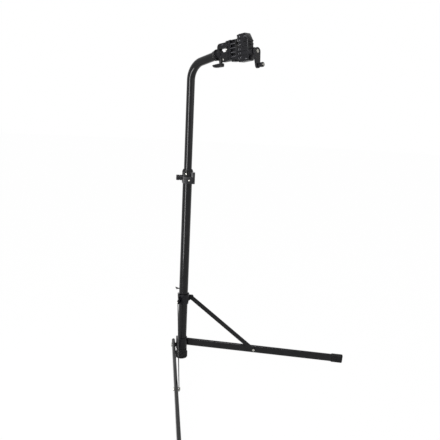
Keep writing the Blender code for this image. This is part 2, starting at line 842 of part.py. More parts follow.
def build_brace(leg, name, side):
    """Builds one brace bar, hinged on the leg, with the rivet of its upper end."""
    brace = frame(
        f"brace_{name}_swing",
        leg,
        (BRACE_ON_LEG, side * (BRACE_OFFSET - LEG_OFFSET), 0),
        (0, BRACE_SLOPE - math.pi - LEG_SLOPE, 0),
    )
    radius = BRACE_WIDTH / 2
    eye = BRACE_BOLT_RADIUS + GAP
    bar = extruded(
        f"brace_{name}",
        [
            capsule(BRACE_LENGTH, radius, radius, 8),
            arc((0, 0), eye, 0, 337.5, 15),
            arc((BRACE_LENGTH, 0), eye, 0, 337.5, 15),
        ],
        "Y",
        -BRACE_THICK / 2,
        BRACE_THICK / 2,
    )
    part(place(bar, brace), "mast_paint")
    rivet = turned(
        f"brace_rivet_{name}",
        headed(BRACE_HEAD_RADIUS, RIVET_HEAD_HEIGHT, BRACE_BOLT_RADIUS, BRACE_THICK + GAP),
        ROUND_SMALL,
    )
    seat = (BRACE_LENGTH, side * (BRACE_THICK / 2 + GAP), 0)
    part(place(rivet, brace, seat, (-side * math.pi / 2, 0, 0)), "steel")


def build_collar(stand):
    """Builds the collar that slides on the mast, its cam lever and the lever's pin."""
    collar_frame = frame("collar_slide", stand, (0, 0, COLLAR_HEIGHT))
    bore = MAST_RADIUS + GAP
    collar = turned(
        "slide_collar",
        [
            (0, COLLAR_TOP),
            (COLLAR_TOP_RADIUS, COLLAR_TOP),
            (COLLAR_TOP_RADIUS, COLLAR_TOP - COLLAR_MOUTH_DEPTH),
            (COLLAR_BOTTOM_RADIUS, COLLAR_BOTTOM),
            (0, COLLAR_BOTTOM),
        ],
        ROUND_TUBE,
    )
    ear_outer = BRACE_OFFSET - BRACE_THICK / 2 - GAP
    tip = BRACE_ON_COLLAR + EAR_TIP
    ear_outline = [
        (-EAR_TAIL, EAR_BOTTOM),
        (COLLAR_BOTTOM_RADIUS, EAR_BOTTOM),
        (BRACE_ON_COLLAR - EAR_TIP / 2, -EAR_TIP),
        (tip - EAR_TIP / 2, -EAR_TIP),
        (tip, -EAR_TIP / 2),
        (tip, EAR_TOP - EAR_TIP / 2),
        (tip - EAR_TIP / 2, EAR_TOP),
        (-EAR_TAIL, EAR_TOP),
    ]
    for name, side in SIDES:
        ear_frame = frame(f"ear_{name}_frame", collar_frame, (0, 0, 0), (0, 0, leg_direction(side)))
        faces = sorted((side * ear_outer, side * (ear_outer - EAR_THICK)))
        ear = extruded(f"collar_ear_{name}", [ear_outline], "Y", *faces)
        join(collar, place(ear, ear_frame))

    lever_frame = frame("collar_lever_axes", collar_frame, (0, 0, 0), (0, 0, COLLAR_LEVER_AZIMUTH))
    lever_half = COLLAR_LEVER_THICK / 2 + GAP
    lug_half = lever_half + COLLAR_LUG_THICK
    lug_low = COLLAR_PIN_HEIGHT - COLLAR_LUG_SIZE / 2
    lugs = box(
        "collar_lugs",
        (COLLAR_BOTTOM_RADIUS - CUT_MARGIN, -lug_half, lug_low),
        (COLLAR_PIN_REACH + COLLAR_PIN_RADIUS * 1.8, lug_half, lug_low + COLLAR_LUG_SIZE),
    )
    window_low = COLLAR_PIN_HEIGHT - COLLAR_WINDOW_DOWN
    window_high = COLLAR_PIN_HEIGHT + COLLAR_WINDOW_UP
    window = extruded(
        "collar_window",
        [
            [
                (MAST_RADIUS / 2, window_low),
                (COLLAR_TOP_RADIUS + GAP, window_low),
                (COLLAR_TOP_RADIUS + GAP, -COLLAR_LUG_SIZE),
                (COLLAR_PIN_REACH + COLLAR_LUG_SIZE, -COLLAR_LUG_SIZE),
                (COLLAR_PIN_REACH + COLLAR_LUG_SIZE, COLLAR_LUG_SIZE),
                (COLLAR_TOP_RADIUS + GAP, COLLAR_LUG_SIZE),
                (COLLAR_TOP_RADIUS + GAP, window_high),
                (MAST_RADIUS / 2, window_high),
            ]
        ],
        "Y",
        -lever_half,
        lever_half,
    )
    pin_hole = rod(
        "collar_pin_hole",
        COLLAR_PIN_RADIUS + GAP,
        (COLLAR_PIN_REACH, -lug_half - CUT_MARGIN, COLLAR_PIN_HEIGHT),
        (COLLAR_PIN_REACH, lug_half + CUT_MARGIN, COLLAR_PIN_HEIGHT),
        ROUND_SMALL,
    )
    join(collar, place(lugs, lever_frame))
    inner = turned(
        "collar_bore",
        [
            (0, COLLAR_TOP + CUT_MARGIN),
            (COLLAR_MOUTH_RADIUS, COLLAR_TOP + CUT_MARGIN),
            (COLLAR_MOUTH_RADIUS, COLLAR_TOP - COLLAR_MOUTH_DEPTH / 2),
            (bore, COLLAR_TOP - COLLAR_MOUTH_DEPTH),
            (bore, COLLAR_BOTTOM - CUT_MARGIN),
            (0, COLLAR_BOTTOM - CUT_MARGIN),
        ],
        ROUND_TUBE,
    )
    cut(collar, place(inner, collar_frame), place(window, lever_frame), place(pin_hole, lever_frame))
    slot_frame = frame("collar_slot_axes", collar_frame, (0, 0, 0), (0, 0, STOP_AZIMUTH))
    slot = box(
        "collar_guide_slot",
        (MAST_RADIUS / 2, -GUIDE_SLOT_WIDTH / 2, COLLAR_BOTTOM - CUT_MARGIN),
        (COLLAR_TOP_RADIUS + CUT_MARGIN, GUIDE_SLOT_WIDTH / 2, COLLAR_TOP + CUT_MARGIN),
    )
    cut(collar, place(slot, slot_frame))
    part(place(collar, collar_frame), "casting")

    turn = frame("collar_lever_turn", lever_frame, (COLLAR_PIN_REACH, 0, COLLAR_PIN_HEIGHT))
    lobe = COLLAR_PIN_REACH - MAST_RADIUS - GAP
    eye = COLLAR_PIN_RADIUS + GAP
    lever_outline = arc((0, 0), lobe, 162, 198, 4) + [
        (-0.005, -0.0055),
        (0.002, -0.007),
        (0.0125, -0.031),
        (0.0165, -0.0325),
        (0.0195, -0.029),
        (0.007, -0.003),
        (0.0055, 0.0035),
        (0.002, 0.006),
        (-0.003, 0.006),
    ]
    lever = extruded(
        "collar_lever",
        [lever_outline, arc((0, 0), eye, 0, 337.5, 15)],
        "Y",
        -COLLAR_LEVER_THICK / 2,
        COLLAR_LEVER_THICK / 2,
    )
    part(place(lever, turn), "plastic")
    pin = rod("collar_lever_pin", COLLAR_PIN_RADIUS, (0, -lug_half, 0), (0, lug_half, 0), ROUND_SMALL)
    part(place(pin, turn), "steel")


def build_clamp(stand):
    """Builds the clamp at the top of the lower tube: body, bolt, nut, cam lever and pin."""
    axes = frame("clamp_axes", stand, (0, 0, 0), (0, 0, CLAMP_AZIMUTH))
    body = rod("mast_clamp", CLAMP_RADIUS, (0, 0, CLAMP_BOTTOM), (0, 0, CLAMP_TOP), ROUND_TUBE)
    lugs = box(
        "clamp_lugs",
        (-CLAMP_LUG_LEFT, -CLAMP_LUG_FRONT, CLAMP_BOTTOM + GAP),
        (CLAMP_LUG_RIGHT, -UPPER_RADIUS / 2, CLAMP_BOLT_HEIGHT + CLAMP_LUG_UP),
        CLAMP_LUG_BEVEL,
    )
    step = MAST_TOP + BUSHING_LIP + 2 * GAP
    lower_bore = rod(
        "clamp_lower_bore",
        MAST_RADIUS + GAP,
        (0, 0, CLAMP_BOTTOM - CUT_MARGIN),
        (0, 0, step),
        ROUND_TUBE,
    )
    upper_bore = rod(
        "clamp_upper_bore",
        UPPER_RADIUS + GAP,
        (0, 0, step - CUT_MARGIN),
        (0, 0, CLAMP_TOP + CUT_MARGIN),
        ROUND_TUBE,
    )
    slit = box(
        "clamp_slit",
        (-CLAMP_SLIT / 2, -CLAMP_LUG_FRONT - CUT_MARGIN, CLAMP_BOTTOM - CUT_MARGIN),
        (CLAMP_SLIT / 2, -UPPER_RADIUS / 2, CLAMP_TOP + CUT_MARGIN),
    )
    bolt_hole = rod(
        "clamp_bolt_hole",
        CLAMP_BOLT_RADIUS + GAP,
        (-CLAMP_LUG_LEFT - CUT_MARGIN, -CLAMP_BOLT_OUT, CLAMP_BOLT_HEIGHT),
        (CLAMP_LUG_RIGHT + CUT_MARGIN, -CLAMP_BOLT_OUT, CLAMP_BOLT_HEIGHT),
        ROUND_SMALL,
    )
    join(body, place(lugs, axes))
    cut(body, place(lower_bore, axes), place(upper_bore, axes), place(slit, axes), place(bolt_hole, axes))
    part(place(body, axes), "plastic")

    nut_face = -CLAMP_LUG_LEFT - GAP
    nut_turn = frame("clamp_nut_turn", axes, (nut_face, -CLAMP_BOLT_OUT, CLAMP_BOLT_HEIGHT), TURN_Z_TO_X)
    floor = -CLAMP_NUT_LENGTH + CLAMP_NUT_FLOOR
    chamfer = CLAMP_NUT_RADIUS / 8
    groove = CLAMP_NUT_LENGTH / 2
    nut = turned(
        "clamp_nut",
        [
            (0, floor),
            (CLAMP_BOLT_RADIUS + THREAD_GAP, floor),
            (CLAMP_BOLT_RADIUS + THREAD_GAP, 0),
            (CLAMP_NUT_RADIUS - chamfer, 0),
            (CLAMP_NUT_RADIUS, -chamfer),
            (CLAMP_NUT_RADIUS, -groove + chamfer),
            (CLAMP_NUT_RADIUS - chamfer, -groove + chamfer / 2),
            (CLAMP_NUT_RADIUS - chamfer, -groove - chamfer / 2),
            (CLAMP_NUT_RADIUS, -groove - chamfer),
            (CLAMP_NUT_RADIUS, -CLAMP_NUT_LENGTH + chamfer),
            (CLAMP_NUT_RADIUS - chamfer, -CLAMP_NUT_LENGTH),
            (0, -CLAMP_NUT_LENGTH),
        ],
        ROUND_LARGE,
    )
    part(place(nut, nut_turn), "plastic")

    pin_place = CLAMP_LUG_RIGHT + GAP + CLAMP_EYE_RADIUS
    turn = frame("clamp_lever_turn", axes, (pin_place, -CLAMP_BOLT_OUT, CLAMP_BOLT_HEIGHT))
    bolt_end = nut_face + floor + GAP * 2
    bolt = rod(
        "clamp_bolt",
        CLAMP_BOLT_RADIUS,
        (bolt_end, -CLAMP_BOLT_OUT, CLAMP_BOLT_HEIGHT),
        (pin_place - CLAMP_PIN_RADIUS - 2 * GAP, -CLAMP_BOLT_OUT, CLAMP_BOLT_HEIGHT),
        ROUND_SMALL,
    )
    barrel = rod("clamp_barrel", CLAMP_BARREL_RADIUS, (0, 0, -CLAMP_BARREL_HALF), (0, 0, CLAMP_BARREL_HALF))
    reach = CLAMP_TOP - CLAMP_BOTTOM
    barrel_hole = rod("clamp_barrel_hole", CLAMP_PIN_RADIUS + GAP, (0, 0, -reach), (0, 0, reach), ROUND_SMALL)
    join(bolt, place(barrel, turn))
    cut(bolt, place(barrel_hole, turn))
    part(place(bolt, axes), "steel")

    inner_face = -(CLAMP_LUG_FRONT - CLAMP_BOLT_OUT) - 4 * GAP
    outer_face = inner_face - CLAMP_LEVER_THICK
    lever = extruded(
        "clamp_lever",
        [
            [
                (CLAMP_EYE_RADIUS, inner_face + 0.0026),
                (-CLAMP_EYE_RADIUS, inner_face + 0.0026),
                (-CLAMP_EYE_RADIUS, inner_face),
                (-CLAMP_LEVER_REACH + 0.006, inner_face),
                (-CLAMP_LEVER_REACH, inner_face - 0.0015),
                (-CLAMP_LEVER_REACH, inner_face - 0.0035),
                (-CLAMP_LEVER_REACH + 0.005, outer_face + 0.0005),
                (CLAMP_EYE_RADIUS - 0.0045, outer_face),
                (CLAMP_EYE_RADIUS, outer_face + 0.0035),
            ]
        ],
        "Z",
        -CLAMP_DOWN,
        CLAMP_LEVER_UP,
    )
    fork_back = extruded(
        "clamp_lever_fork",
        [
            [
                (CLAMP_EYE_RADIUS, inner_face + 0.0026),
                (-CLAMP_EYE_RADIUS, inner_face + 0.0026),
                (-CLAMP_EYE_RADIUS, outer_face + 0.002),
                (-CLAMP_EYE_RADIUS + 0.003, outer_face + 0.0003),
                (CLAMP_EYE_RADIUS - 0.0045, outer_face + 0.0003),
                (CLAMP_EYE_RADIUS, outer_face + 0.004),
            ]
        ],
        "Z",
        -CLAMP_DOWN + GAP,
        CLAMP_LUG_UP,
    )
    eye_gap = CLAMP_BARREL_HALF + GAP
    lower_eye = rod("clamp_lower_eye", CLAMP_EYE_RADIUS, (0, 0, -CLAMP_DOWN + 2 * GAP), (0, 0, -eye_gap))
    upper_eye = rod("clamp_upper_eye", CLAMP_EYE_RADIUS, (0, 0, eye_gap), (0, 0, CLAMP_LUG_UP - GAP))
    lever_hole = rod("clamp_lever_hole", CLAMP_PIN_RADIUS + GAP, (0, 0, -reach), (0, 0, reach), ROUND_SMALL)
    join(lever, place(fork_back, turn), place(lower_eye, turn), place(upper_eye, turn))
    cut(lever, place(lever_hole, turn))
    part(place(lever, turn), "casting")
    pin = rod(
        "clamp_lever_pin",
        CLAMP_PIN_RADIUS,
        (0, 0, -CLAMP_DOWN + 2 * GAP),
        (0, 0, CLAMP_LUG_UP - 2 * GAP),
        ROUND_SMALL,
    )
    part(place(pin, turn), "steel")


def arm_path(start, end):
    """Lists the centre line of the upper tube between a height and a distance along the arm."""
    turn = math.pi / 2 - ARM_RISE
    tangent = BEND_RADIUS * math.tan(turn / 2)
    bend_height = ARM_HEIGHT - tangent
    points = [Vector((0, 0, start))]
    for i in range(BEND_STEPS + 1):
        angle = turn * i / BEND_STEPS
        forward = BEND_RADIUS * (1 - math.cos(angle))
        points.append(Vector((0, -forward, bend_height + BEND_RADIUS * math.sin(angle))))
    points.append(along_arm(end))
    return points


def build_upper_mast(stand):
    """Builds the bent upper tube, the glide in its bottom and the bushing and bolt in its arm."""
    slide = frame("mast_glide_slide", stand, (0, 0, UPPER_BOTTOM))
    swivel = frame("mast_swivel", slide)
    bore = UPPER_RADIUS - UPPER_WALL
    tube = bent_tube("upper_mast", arm_path(UPPER_BOTTOM, ARM_LENGTH), UPPER_RADIUS, UPPER_WALL, ROUND_LARGE)
    arm = frame("arm_axes", swivel, (0, 0, ARM_HEIGHT - UPPER_BOTTOM), (0, -ARM_RISE, FRONT))
    bolt_turn = math.pi / 2 + ARM_BOLT_TURN
    bolt_axes = frame("arm_bolt_axes", arm, (ARM_BOLT_PLACE, 0, 0), (bolt_turn, 0, 0))
    back = (0, 0, -UPPER_BOTTOM)
    tube_hole = rod("arm_bolt_tube_hole", ARM_BOLT_RADIUS + GAP, (0, 0, 0), (0, 0, MAST_RADIUS), ROUND_SMALL)
    cut(tube, place(tube_hole, bolt_axes))
    part(place(tube, swivel, back), "arm_paint")

    glide_top = -GAP
    spigot_radius = bore - GAP
    glide_radius = MAST_RADIUS - MAST_WALL - GAP
    glide = turned(
        "mast_glide",
        [
            (0, GLIDE_SPIGOT),
            (spigot_radius, GLIDE_SPIGOT),
            (spigot_radius, glide_top),
            (glide_radius, glide_top),
            (glide_radius, glide_top - GLIDE_FLANGE),
            (0, glide_top - GLIDE_FLANGE),
        ],
        ROUND_TUBE,
    )
    part(place(glide, slide), "plastic")

    flange_start = ARM_LENGTH + GAP
    flange_end = flange_start + ARM_BUSHING_FLANGE
    running = SPINDLE_RADIUS + GAP
    bushing = turned(
        "arm_bushing",
        [
            (ARM_BUSHING_FLANGE_RADIUS, flange_end),
            (ARM_BUSHING_FLANGE_RADIUS, flange_start),
            (spigot_radius, flange_start),
            (spigot_radius, ARM_BUSHING_START),
            (running, ARM_BUSHING_START),
            (running, flange_end),
        ],
    )
    hole_radius = ARM_BOLT_RADIUS + GAP
    bushing_hole = rod("arm_bolt_bushing_hole", hole_radius, (0, 0, 0), (0, 0, MAST_RADIUS), ROUND_SMALL)
    cut(bushing, place(bushing_hole, bolt_axes))
    part(place(bushing, arm, (0, 0, 0), TURN_Z_TO_X), "casting")

    seat = UPPER_RADIUS + GAP
    bolt = turned(
        "arm_bolt",
        headed(ARM_BOLT_HEAD_RADIUS, ARM_BOLT_HEAD_HEIGHT, ARM_BOLT_RADIUS, seat - ARM_BOLT_TIP),
        ROUND_SMALL,
    )
    part(place(bolt, bolt_axes, (0, 0, seat)), "steel")
    return arm


def build_head(arm):
    """Builds the head that turns in the arm's end: spindle, yoke, fixed jaw and lock lever."""
    turn = frame("head_turn", arm)
    groove = SPINDLE_GROOVE_WIDTH / 2
    neck_start = ARM_LENGTH + ARM_BUSHING_FLANGE + 2 * GAP
    spindle_end = NECK_END - NECK_WEB
    spindle = turned(
        "head_spindle",
        [
            (0, spindle_end),
            (SPINDLE_RADIUS, spindle_end),
            (SPINDLE_RADIUS, ARM_BOLT_PLACE + groove),
            (SPINDLE_GROOVE_RADIUS, ARM_BOLT_PLACE + groove),
            (SPINDLE_GROOVE_RADIUS, ARM_BOLT_PLACE - groove),
            (SPINDLE_RADIUS, ARM_BOLT_PLACE - groove),
            (SPINDLE_RADIUS, SPINDLE_START),
            (0, SPINDLE_START),
        ],
    )
    part(place(spindle, turn, (0, 0, 0), TURN_Z_TO_X), "steel")

    tilt = frame("head_tilt", turn, (HEAD_ORIGIN, 0, 0), (0, ARM_RISE - HEAD_RISE, 0))
    tilt.rotation_euler.rotate_axis("X", HEAD_ROLL)
    head = frame("head_axes", tilt, (0, 0, HEAD_LIFT))
    yoke_outline = [
        (YOKE_START, -YOKE_NECK_HALF - HEAD_LIFT),
        *((YOKE_LOWER_START - back, -YOKE_NECK_HALF - down - HEAD_LIFT) for back, down in YOKE_NECK_SLOPE),
        (YOKE_LOWER_START, -YOKE_BOTTOM + YOKE_CORNER),
        (YOKE_LOWER_START + YOKE_CORNER, -YOKE_BOTTOM),
        (YOKE_PLATE + GAP, -YOKE_BOTTOM),
        (YOKE_PLATE + GAP, YOKE_TOP),
        *((YOKE_START + out, YOKE_TOP - down) for out, down in YOKE_TOP_SLOPE),
        (YOKE_START, YOKE_NECK_HALF - HEAD_LIFT),
    ]
    window = []
    for end, height, first in (
        (WINDOW_END - WINDOW_CORNER, WINDOW_TOP - WINDOW_CORNER, 0),
        (WINDOW_START + WINDOW_CORNER, WINDOW_TOP - WINDOW_CORNER, 90),
        (WINDOW_START + WINDOW_CORNER, WINDOW_BOTTOM + WINDOW_CORNER, 180),
        (WINDOW_END - WINDOW_CORNER, WINDOW_BOTTOM + WINDOW_CORNER, 270),
    ):
        window += arc((end, height), WINDOW_CORNER, first, first + 90, 3)
    yoke = extruded("head_yoke", [yoke_outline, window], "Y", -YOKE_THICK / 2, YOKE_THICK / 2)
    neck = rod("yoke_neck", NECK_RADIUS, (neck_start, 0, 0), (NECK_END, 0, 0))
    plate_end = YOKE_PLATE + YOKE_PLATE_THICK
    plate = extruded(
        "yoke_plate",
        [rounded_rectangle(YOKE_PLATE_WIDTH, 2 * YOKE_PLATE_HALF_HEIGHT, 0.005, 3)],
        "X",
        YOKE_PLATE,
        plate_end,
    )
    barrel = rod(
        "yoke_barrel",
        SCREW_BARREL_RADIUS,
        (YOKE_LOWER_START + GAP, 0, SCREW_HEIGHT),
        (YOKE_PLATE + CUT_MARGIN, 0, SCREW_HEIGHT),
    )
    join(yoke, place(neck, turn), place(plate, head), place(barrel, head))
    spindle_bore = rod("yoke_spindle_bore", SPINDLE_RADIUS + GAP, (0, 0, 0), (spindle_end + GAP, 0, 0))
    lock_hole = rod(
        "yoke_lock_hole",
        LOCK_SHANK_RADIUS + THREAD_GAP,
        (LOCK_PLACE, 0, LOCK_STEM_BOTTOM),
        (LOCK_PLACE, 0, -SPINDLE_RADIUS / 2 - HEAD_LIFT),
        ROUND_SMALL,
    )
    pin_hole = rod(
        "yoke_pin_hole",
        YOKE_PIN_RADIUS + GAP,
        (YOKE_PIN_PLACE, 0, WINDOW_BOTTOM - YOKE_PIN_SEAT - GAP),
        (YOKE_PIN_PLACE, 0, WINDOW_TOP + YOKE_PIN_SEAT + GAP),
        ROUND_SMALL,
    )
    cut(yoke, place(spindle_bore, turn), place(lock_hole, head), place(pin_hole, head))
    for label, height, radius in (
        ("rod", GUIDE_ROD_HEIGHT, GUIDE_ROD_RADIUS),
        ("screw", SCREW_HEIGHT, SCREW_RADIUS + GAP),
    ):
        bore = rod(
            f"yoke_{label}_bore",
            radius + GAP,
            (GUIDE_ROD_START - GAP, 0, height),
            (plate_end + CUT_MARGIN, 0, height),
        )
        cut(yoke, place(bore, head))
    for name, side in SIDES:
        hole = rod(
            f"yoke_bolt_hole_{name}",
            JAW_BOLT_RADIUS + GAP,
            (YOKE_PLATE - CUT_MARGIN, side * JAW_BOLT_SIDE, 0),
            (plate_end + CUT_MARGIN, side * JAW_BOLT_SIDE, 0),
            ROUND_SMALL,
        )
        cut(yoke, place(hole, head))
    part(place(yoke, head), "plastic")

    pin = rod(
        "yoke_pin",
        YOKE_PIN_RADIUS,
        (YOKE_PIN_PLACE, 0, WINDOW_BOTTOM - YOKE_PIN_SEAT),
        (YOKE_PIN_PLACE, 0, WINDOW_TOP + YOKE_PIN_SEAT),
        ROUND_SMALL,
    )
    part(place(pin, head), "casting")
    for name, side in SIDES:
        bolt = turned(
            f"jaw_bolt_{name}",
            headed(
                JAW_BOLT_HEAD_RADIUS,
                JAW_BOLT_HEAD_HEIGHT,
                JAW_BOLT_RADIUS,
                YOKE_PLATE_THICK + 2 * GAP + JAW_BOLT_DEPTH,
            ),
            ROUND_SMALL,
        )
        part(place(bolt, head, (YOKE_PLATE - GAP, side * JAW_BOLT_SIDE, 0), (0, -math.pi / 2, 0)), "steel")
    build_fixed_jaw(head)
    build_lock_lever(head)
    return head


def build_lock_lever(head):
    """Builds the lever screw under the neck that locks the head's turn."""
    turn = frame("head_lock_turn", head, (LOCK_PLACE, 0, 0))
    stem = turned(
        "head_lock_lever",
        [
            (0, LOCK_SHANK_TOP),
            (LOCK_SHANK_RADIUS, LOCK_SHANK_TOP),
            (LOCK_SHANK_RADIUS, LOCK_STEM_TOP),
            (LOCK_STEM_RADIUS, LOCK_STEM_TOP),
            (LOCK_STEM_RADIUS, LOCK_STEM_BOTTOM - CUT_MARGIN),
            (0, LOCK_STEM_BOTTOM - CUT_MARGIN),
        ],
        ROUND_SMALL,
    )
    grip_outline = [
        (LOCK_LEVER_BACK, LOCK_STEM_BOTTOM - 0.003),
        (LOCK_STEM_RADIUS, LOCK_STEM_BOTTOM),
        (-LOCK_STEM_RADIUS, LOCK_STEM_BOTTOM),
        (-LOCK_LEVER_REACH + 0.002, LOCK_STEM_BOTTOM - 0.001),
        (-LOCK_LEVER_REACH, LOCK_STEM_BOTTOM - 0.004),
        (-LOCK_LEVER_REACH + 0.006, LOCK_STEM_BOTTOM - LOCK_LEVER_TALL + 0.003),
        (-LOCK_LEVER_REACH + 0.014, LOCK_STEM_BOTTOM - LOCK_LEVER_TALL + 0.0005),
        (LOCK_LEVER_BACK - 0.004, LOCK_STEM_BOTTOM - LOCK_LEVER_TALL),
        (LOCK_LEVER_BACK - 0.001, LOCK_STEM_BOTTOM - LOCK_LEVER_TALL + 0.0025),
    ]
    grip = extruded("lock_lever_grip", [grip_outline], "Y", -LOCK_LEVER_THICK / 2, LOCK_LEVER_THICK / 2)
    round_edges(grip, 0.002)
    join(stem, place(grip, turn))
    part(place(stem, turn), "plastic")


def pad_outline(face, back, direction, top):
    """Lists a jaw pad in XZ, with a V groove across its face."""
    groove = face - direction * PAD_GROOVE_DEPTH
    middle = PAD_GROOVE_HEIGHT
    half = PAD_GROOVE_HALF_WIDTH
    return [
        (back, PAD_BOTTOM + GAP),
        (face, PAD_BOTTOM + GAP),
        (face, middle - half),
        (groove, middle),
        (face, middle + half),
        (face, top),
        (back, top),
    ]


def jaw_slots(jaw, axes, name, heights, tall, depth, start, end):
    """Cuts a row of slots into both sides of a jaw."""
    for i, height in enumerate(heights):
        for label, side in SIDES:
            faces = sorted((side * (JAW_WIDTH / 2 - depth), side * (JAW_WIDTH / 2 + CUT_MARGIN)))
            slot = box(
                f"{name}_slot_{label}_{i}",
                (start, faces[0], height - tall / 2),
                (end, faces[1], height + tall / 2),
            )
            cut(jaw, place(slot, axes))


def build_fixed_jaw(head):
    """Builds the fixed jaw, the screw's nut in it and its rubber pad."""
    jaw = box(
        "fixed_jaw",
        (JAW_BOX_START, -JAW_WIDTH / 2, FIXED_JAW_BOTTOM),
        (FIXED_JAW_FACE, JAW_WIDTH / 2, FIXED_JAW_TOP),
    )
    keel = box(
        "fixed_jaw_keel",
        (JAW_BOX_START - GAP, -KEEL_WIDTH / 2, FIXED_JAW_BOTTOM - KEEL_DEPTH),
        (KEEL_END, KEEL_WIDTH / 2, FIXED_JAW_BOTTOM + CUT_MARGIN),
    )
    keel_notch = box(
        "fixed_jaw_keel_notch",
        (KEEL_NOTCH_PLACE - KEEL_NOTCH_WIDTH / 2, -KEEL_WIDTH, FIXED_JAW_BOTTOM - KEEL_DEPTH - CUT_MARGIN),
        (KEEL_NOTCH_PLACE + KEEL_NOTCH_WIDTH / 2, KEEL_WIDTH, FIXED_JAW_BOTTOM - KEEL_DEPTH + KEEL_NOTCH_DEPTH),
    )
    cut(keel, keel_notch)
    base = extruded(
        "fixed_jaw_base",
        [rounded_rectangle(JAW_BASE_WIDTH, JAW_BASE_HEIGHT, 0.004, 2)],
        "X",
        FIXED_JAW_START,
        JAW_FLANGE_START + GAP,
    )
    flange = extruded(
        "fixed_jaw_flange",
        [rounded_rectangle(JAW_FLANGE_WIDTH, JAW_FLANGE_HEIGHT, 0.004, 2)],
        "X",
        JAW_FLANGE_START,
        JAW_BOX_START + GAP,
    )
    join(jaw, place(base, head), place(flange, head), place(keel, head))
    pad_back = FIXED_JAW_FACE - PAD_THICK
    recess = box(
        "fixed_jaw_recess",
        (pad_back - GAP, -JAW_WIDTH, PAD_BOTTOM),
        (FIXED_JAW_FACE + CUT_MARGIN, JAW_WIDTH, FIXED_JAW_TOP + CUT_MARGIN),
    )
    rod_bore = rod(
        "fixed_jaw_rod_bore",
        GUIDE_ROD_RADIUS + GAP,
        (FIXED_JAW_START - CUT_MARGIN, 0, GUIDE_ROD_HEIGHT),
        (FIXED_JAW_FACE + CUT_MARGIN, 0, GUIDE_ROD_HEIGHT),
    )
    screw_bore = rod(
        "fixed_jaw_screw_bore",
        SCREW_RADIUS + 2 * GAP,
        (FIXED_JAW_START - CUT_MARGIN, 0, SCREW_HEIGHT),
        (FIXED_JAW_FACE + CUT_MARGIN, 0, SCREW_HEIGHT),
    )
    nut_end = FIXED_JAW_START + GAP + SCREW_NUT_LENGTH
    nut_pocket = rod(
        "fixed_jaw_nut_pocket",
        SCREW_NUT_RADIUS + GAP,
        (FIXED_JAW_START - CUT_MARGIN, 0, SCREW_HEIGHT),
        (nut_end + GAP, 0, SCREW_HEIGHT),
    )
    cut(jaw, place(recess, head), place(rod_bore, head), place(screw_bore, head), place(nut_pocket, head))
    for name, side in SIDES:
        hole = rod(
            f"fixed_jaw_bolt_hole_{name}",
            JAW_BOLT_RADIUS + THREAD_GAP,
            (FIXED_JAW_START - CUT_MARGIN, side * JAW_BOLT_SIDE, 0),
            (FIXED_JAW_START + JAW_BOLT_DEPTH + GAP, side * JAW_BOLT_SIDE, 0),
            ROUND_SMALL,
        )
        cut(jaw, place(hole, head))
    heights = [FIXED_SLOT_FIRST + FIXED_SLOT_STEP * i for i in range(FIXED_SLOT_COUNT)]
    slot_start = JAW_BOX_START + FIXED_SLOT_MARGIN
    slot_end = pad_back - FIXED_SLOT_MARGIN
    jaw_slots(jaw, head, "fixed_jaw", heights, FIXED_SLOT_TALL, FIXED_SLOT_DEPTH, slot_start, slot_end)
    part(place(jaw, head), "casting")

    nut = turned(
        "screw_nut",
        ring_profile(SCREW_RADIUS + THREAD_GAP, SCREW_NUT_RADIUS, FIXED_JAW_START + GAP, nut_end),
        ROUND_SMALL,
    )
    part(place(nut, head, (0, 0, SCREW_HEIGHT), TURN_Z_TO_X), "steel")

    pad = extruded(
        "fixed_jaw_pad",
        [pad_outline(FIXED_JAW_FACE, pad_back, 1, FIXED_JAW_TOP)],
        "Y",
        -JAW_WIDTH / 2,
        JAW_WIDTH / 2,
    )
    part(place(pad, head), "rubber")


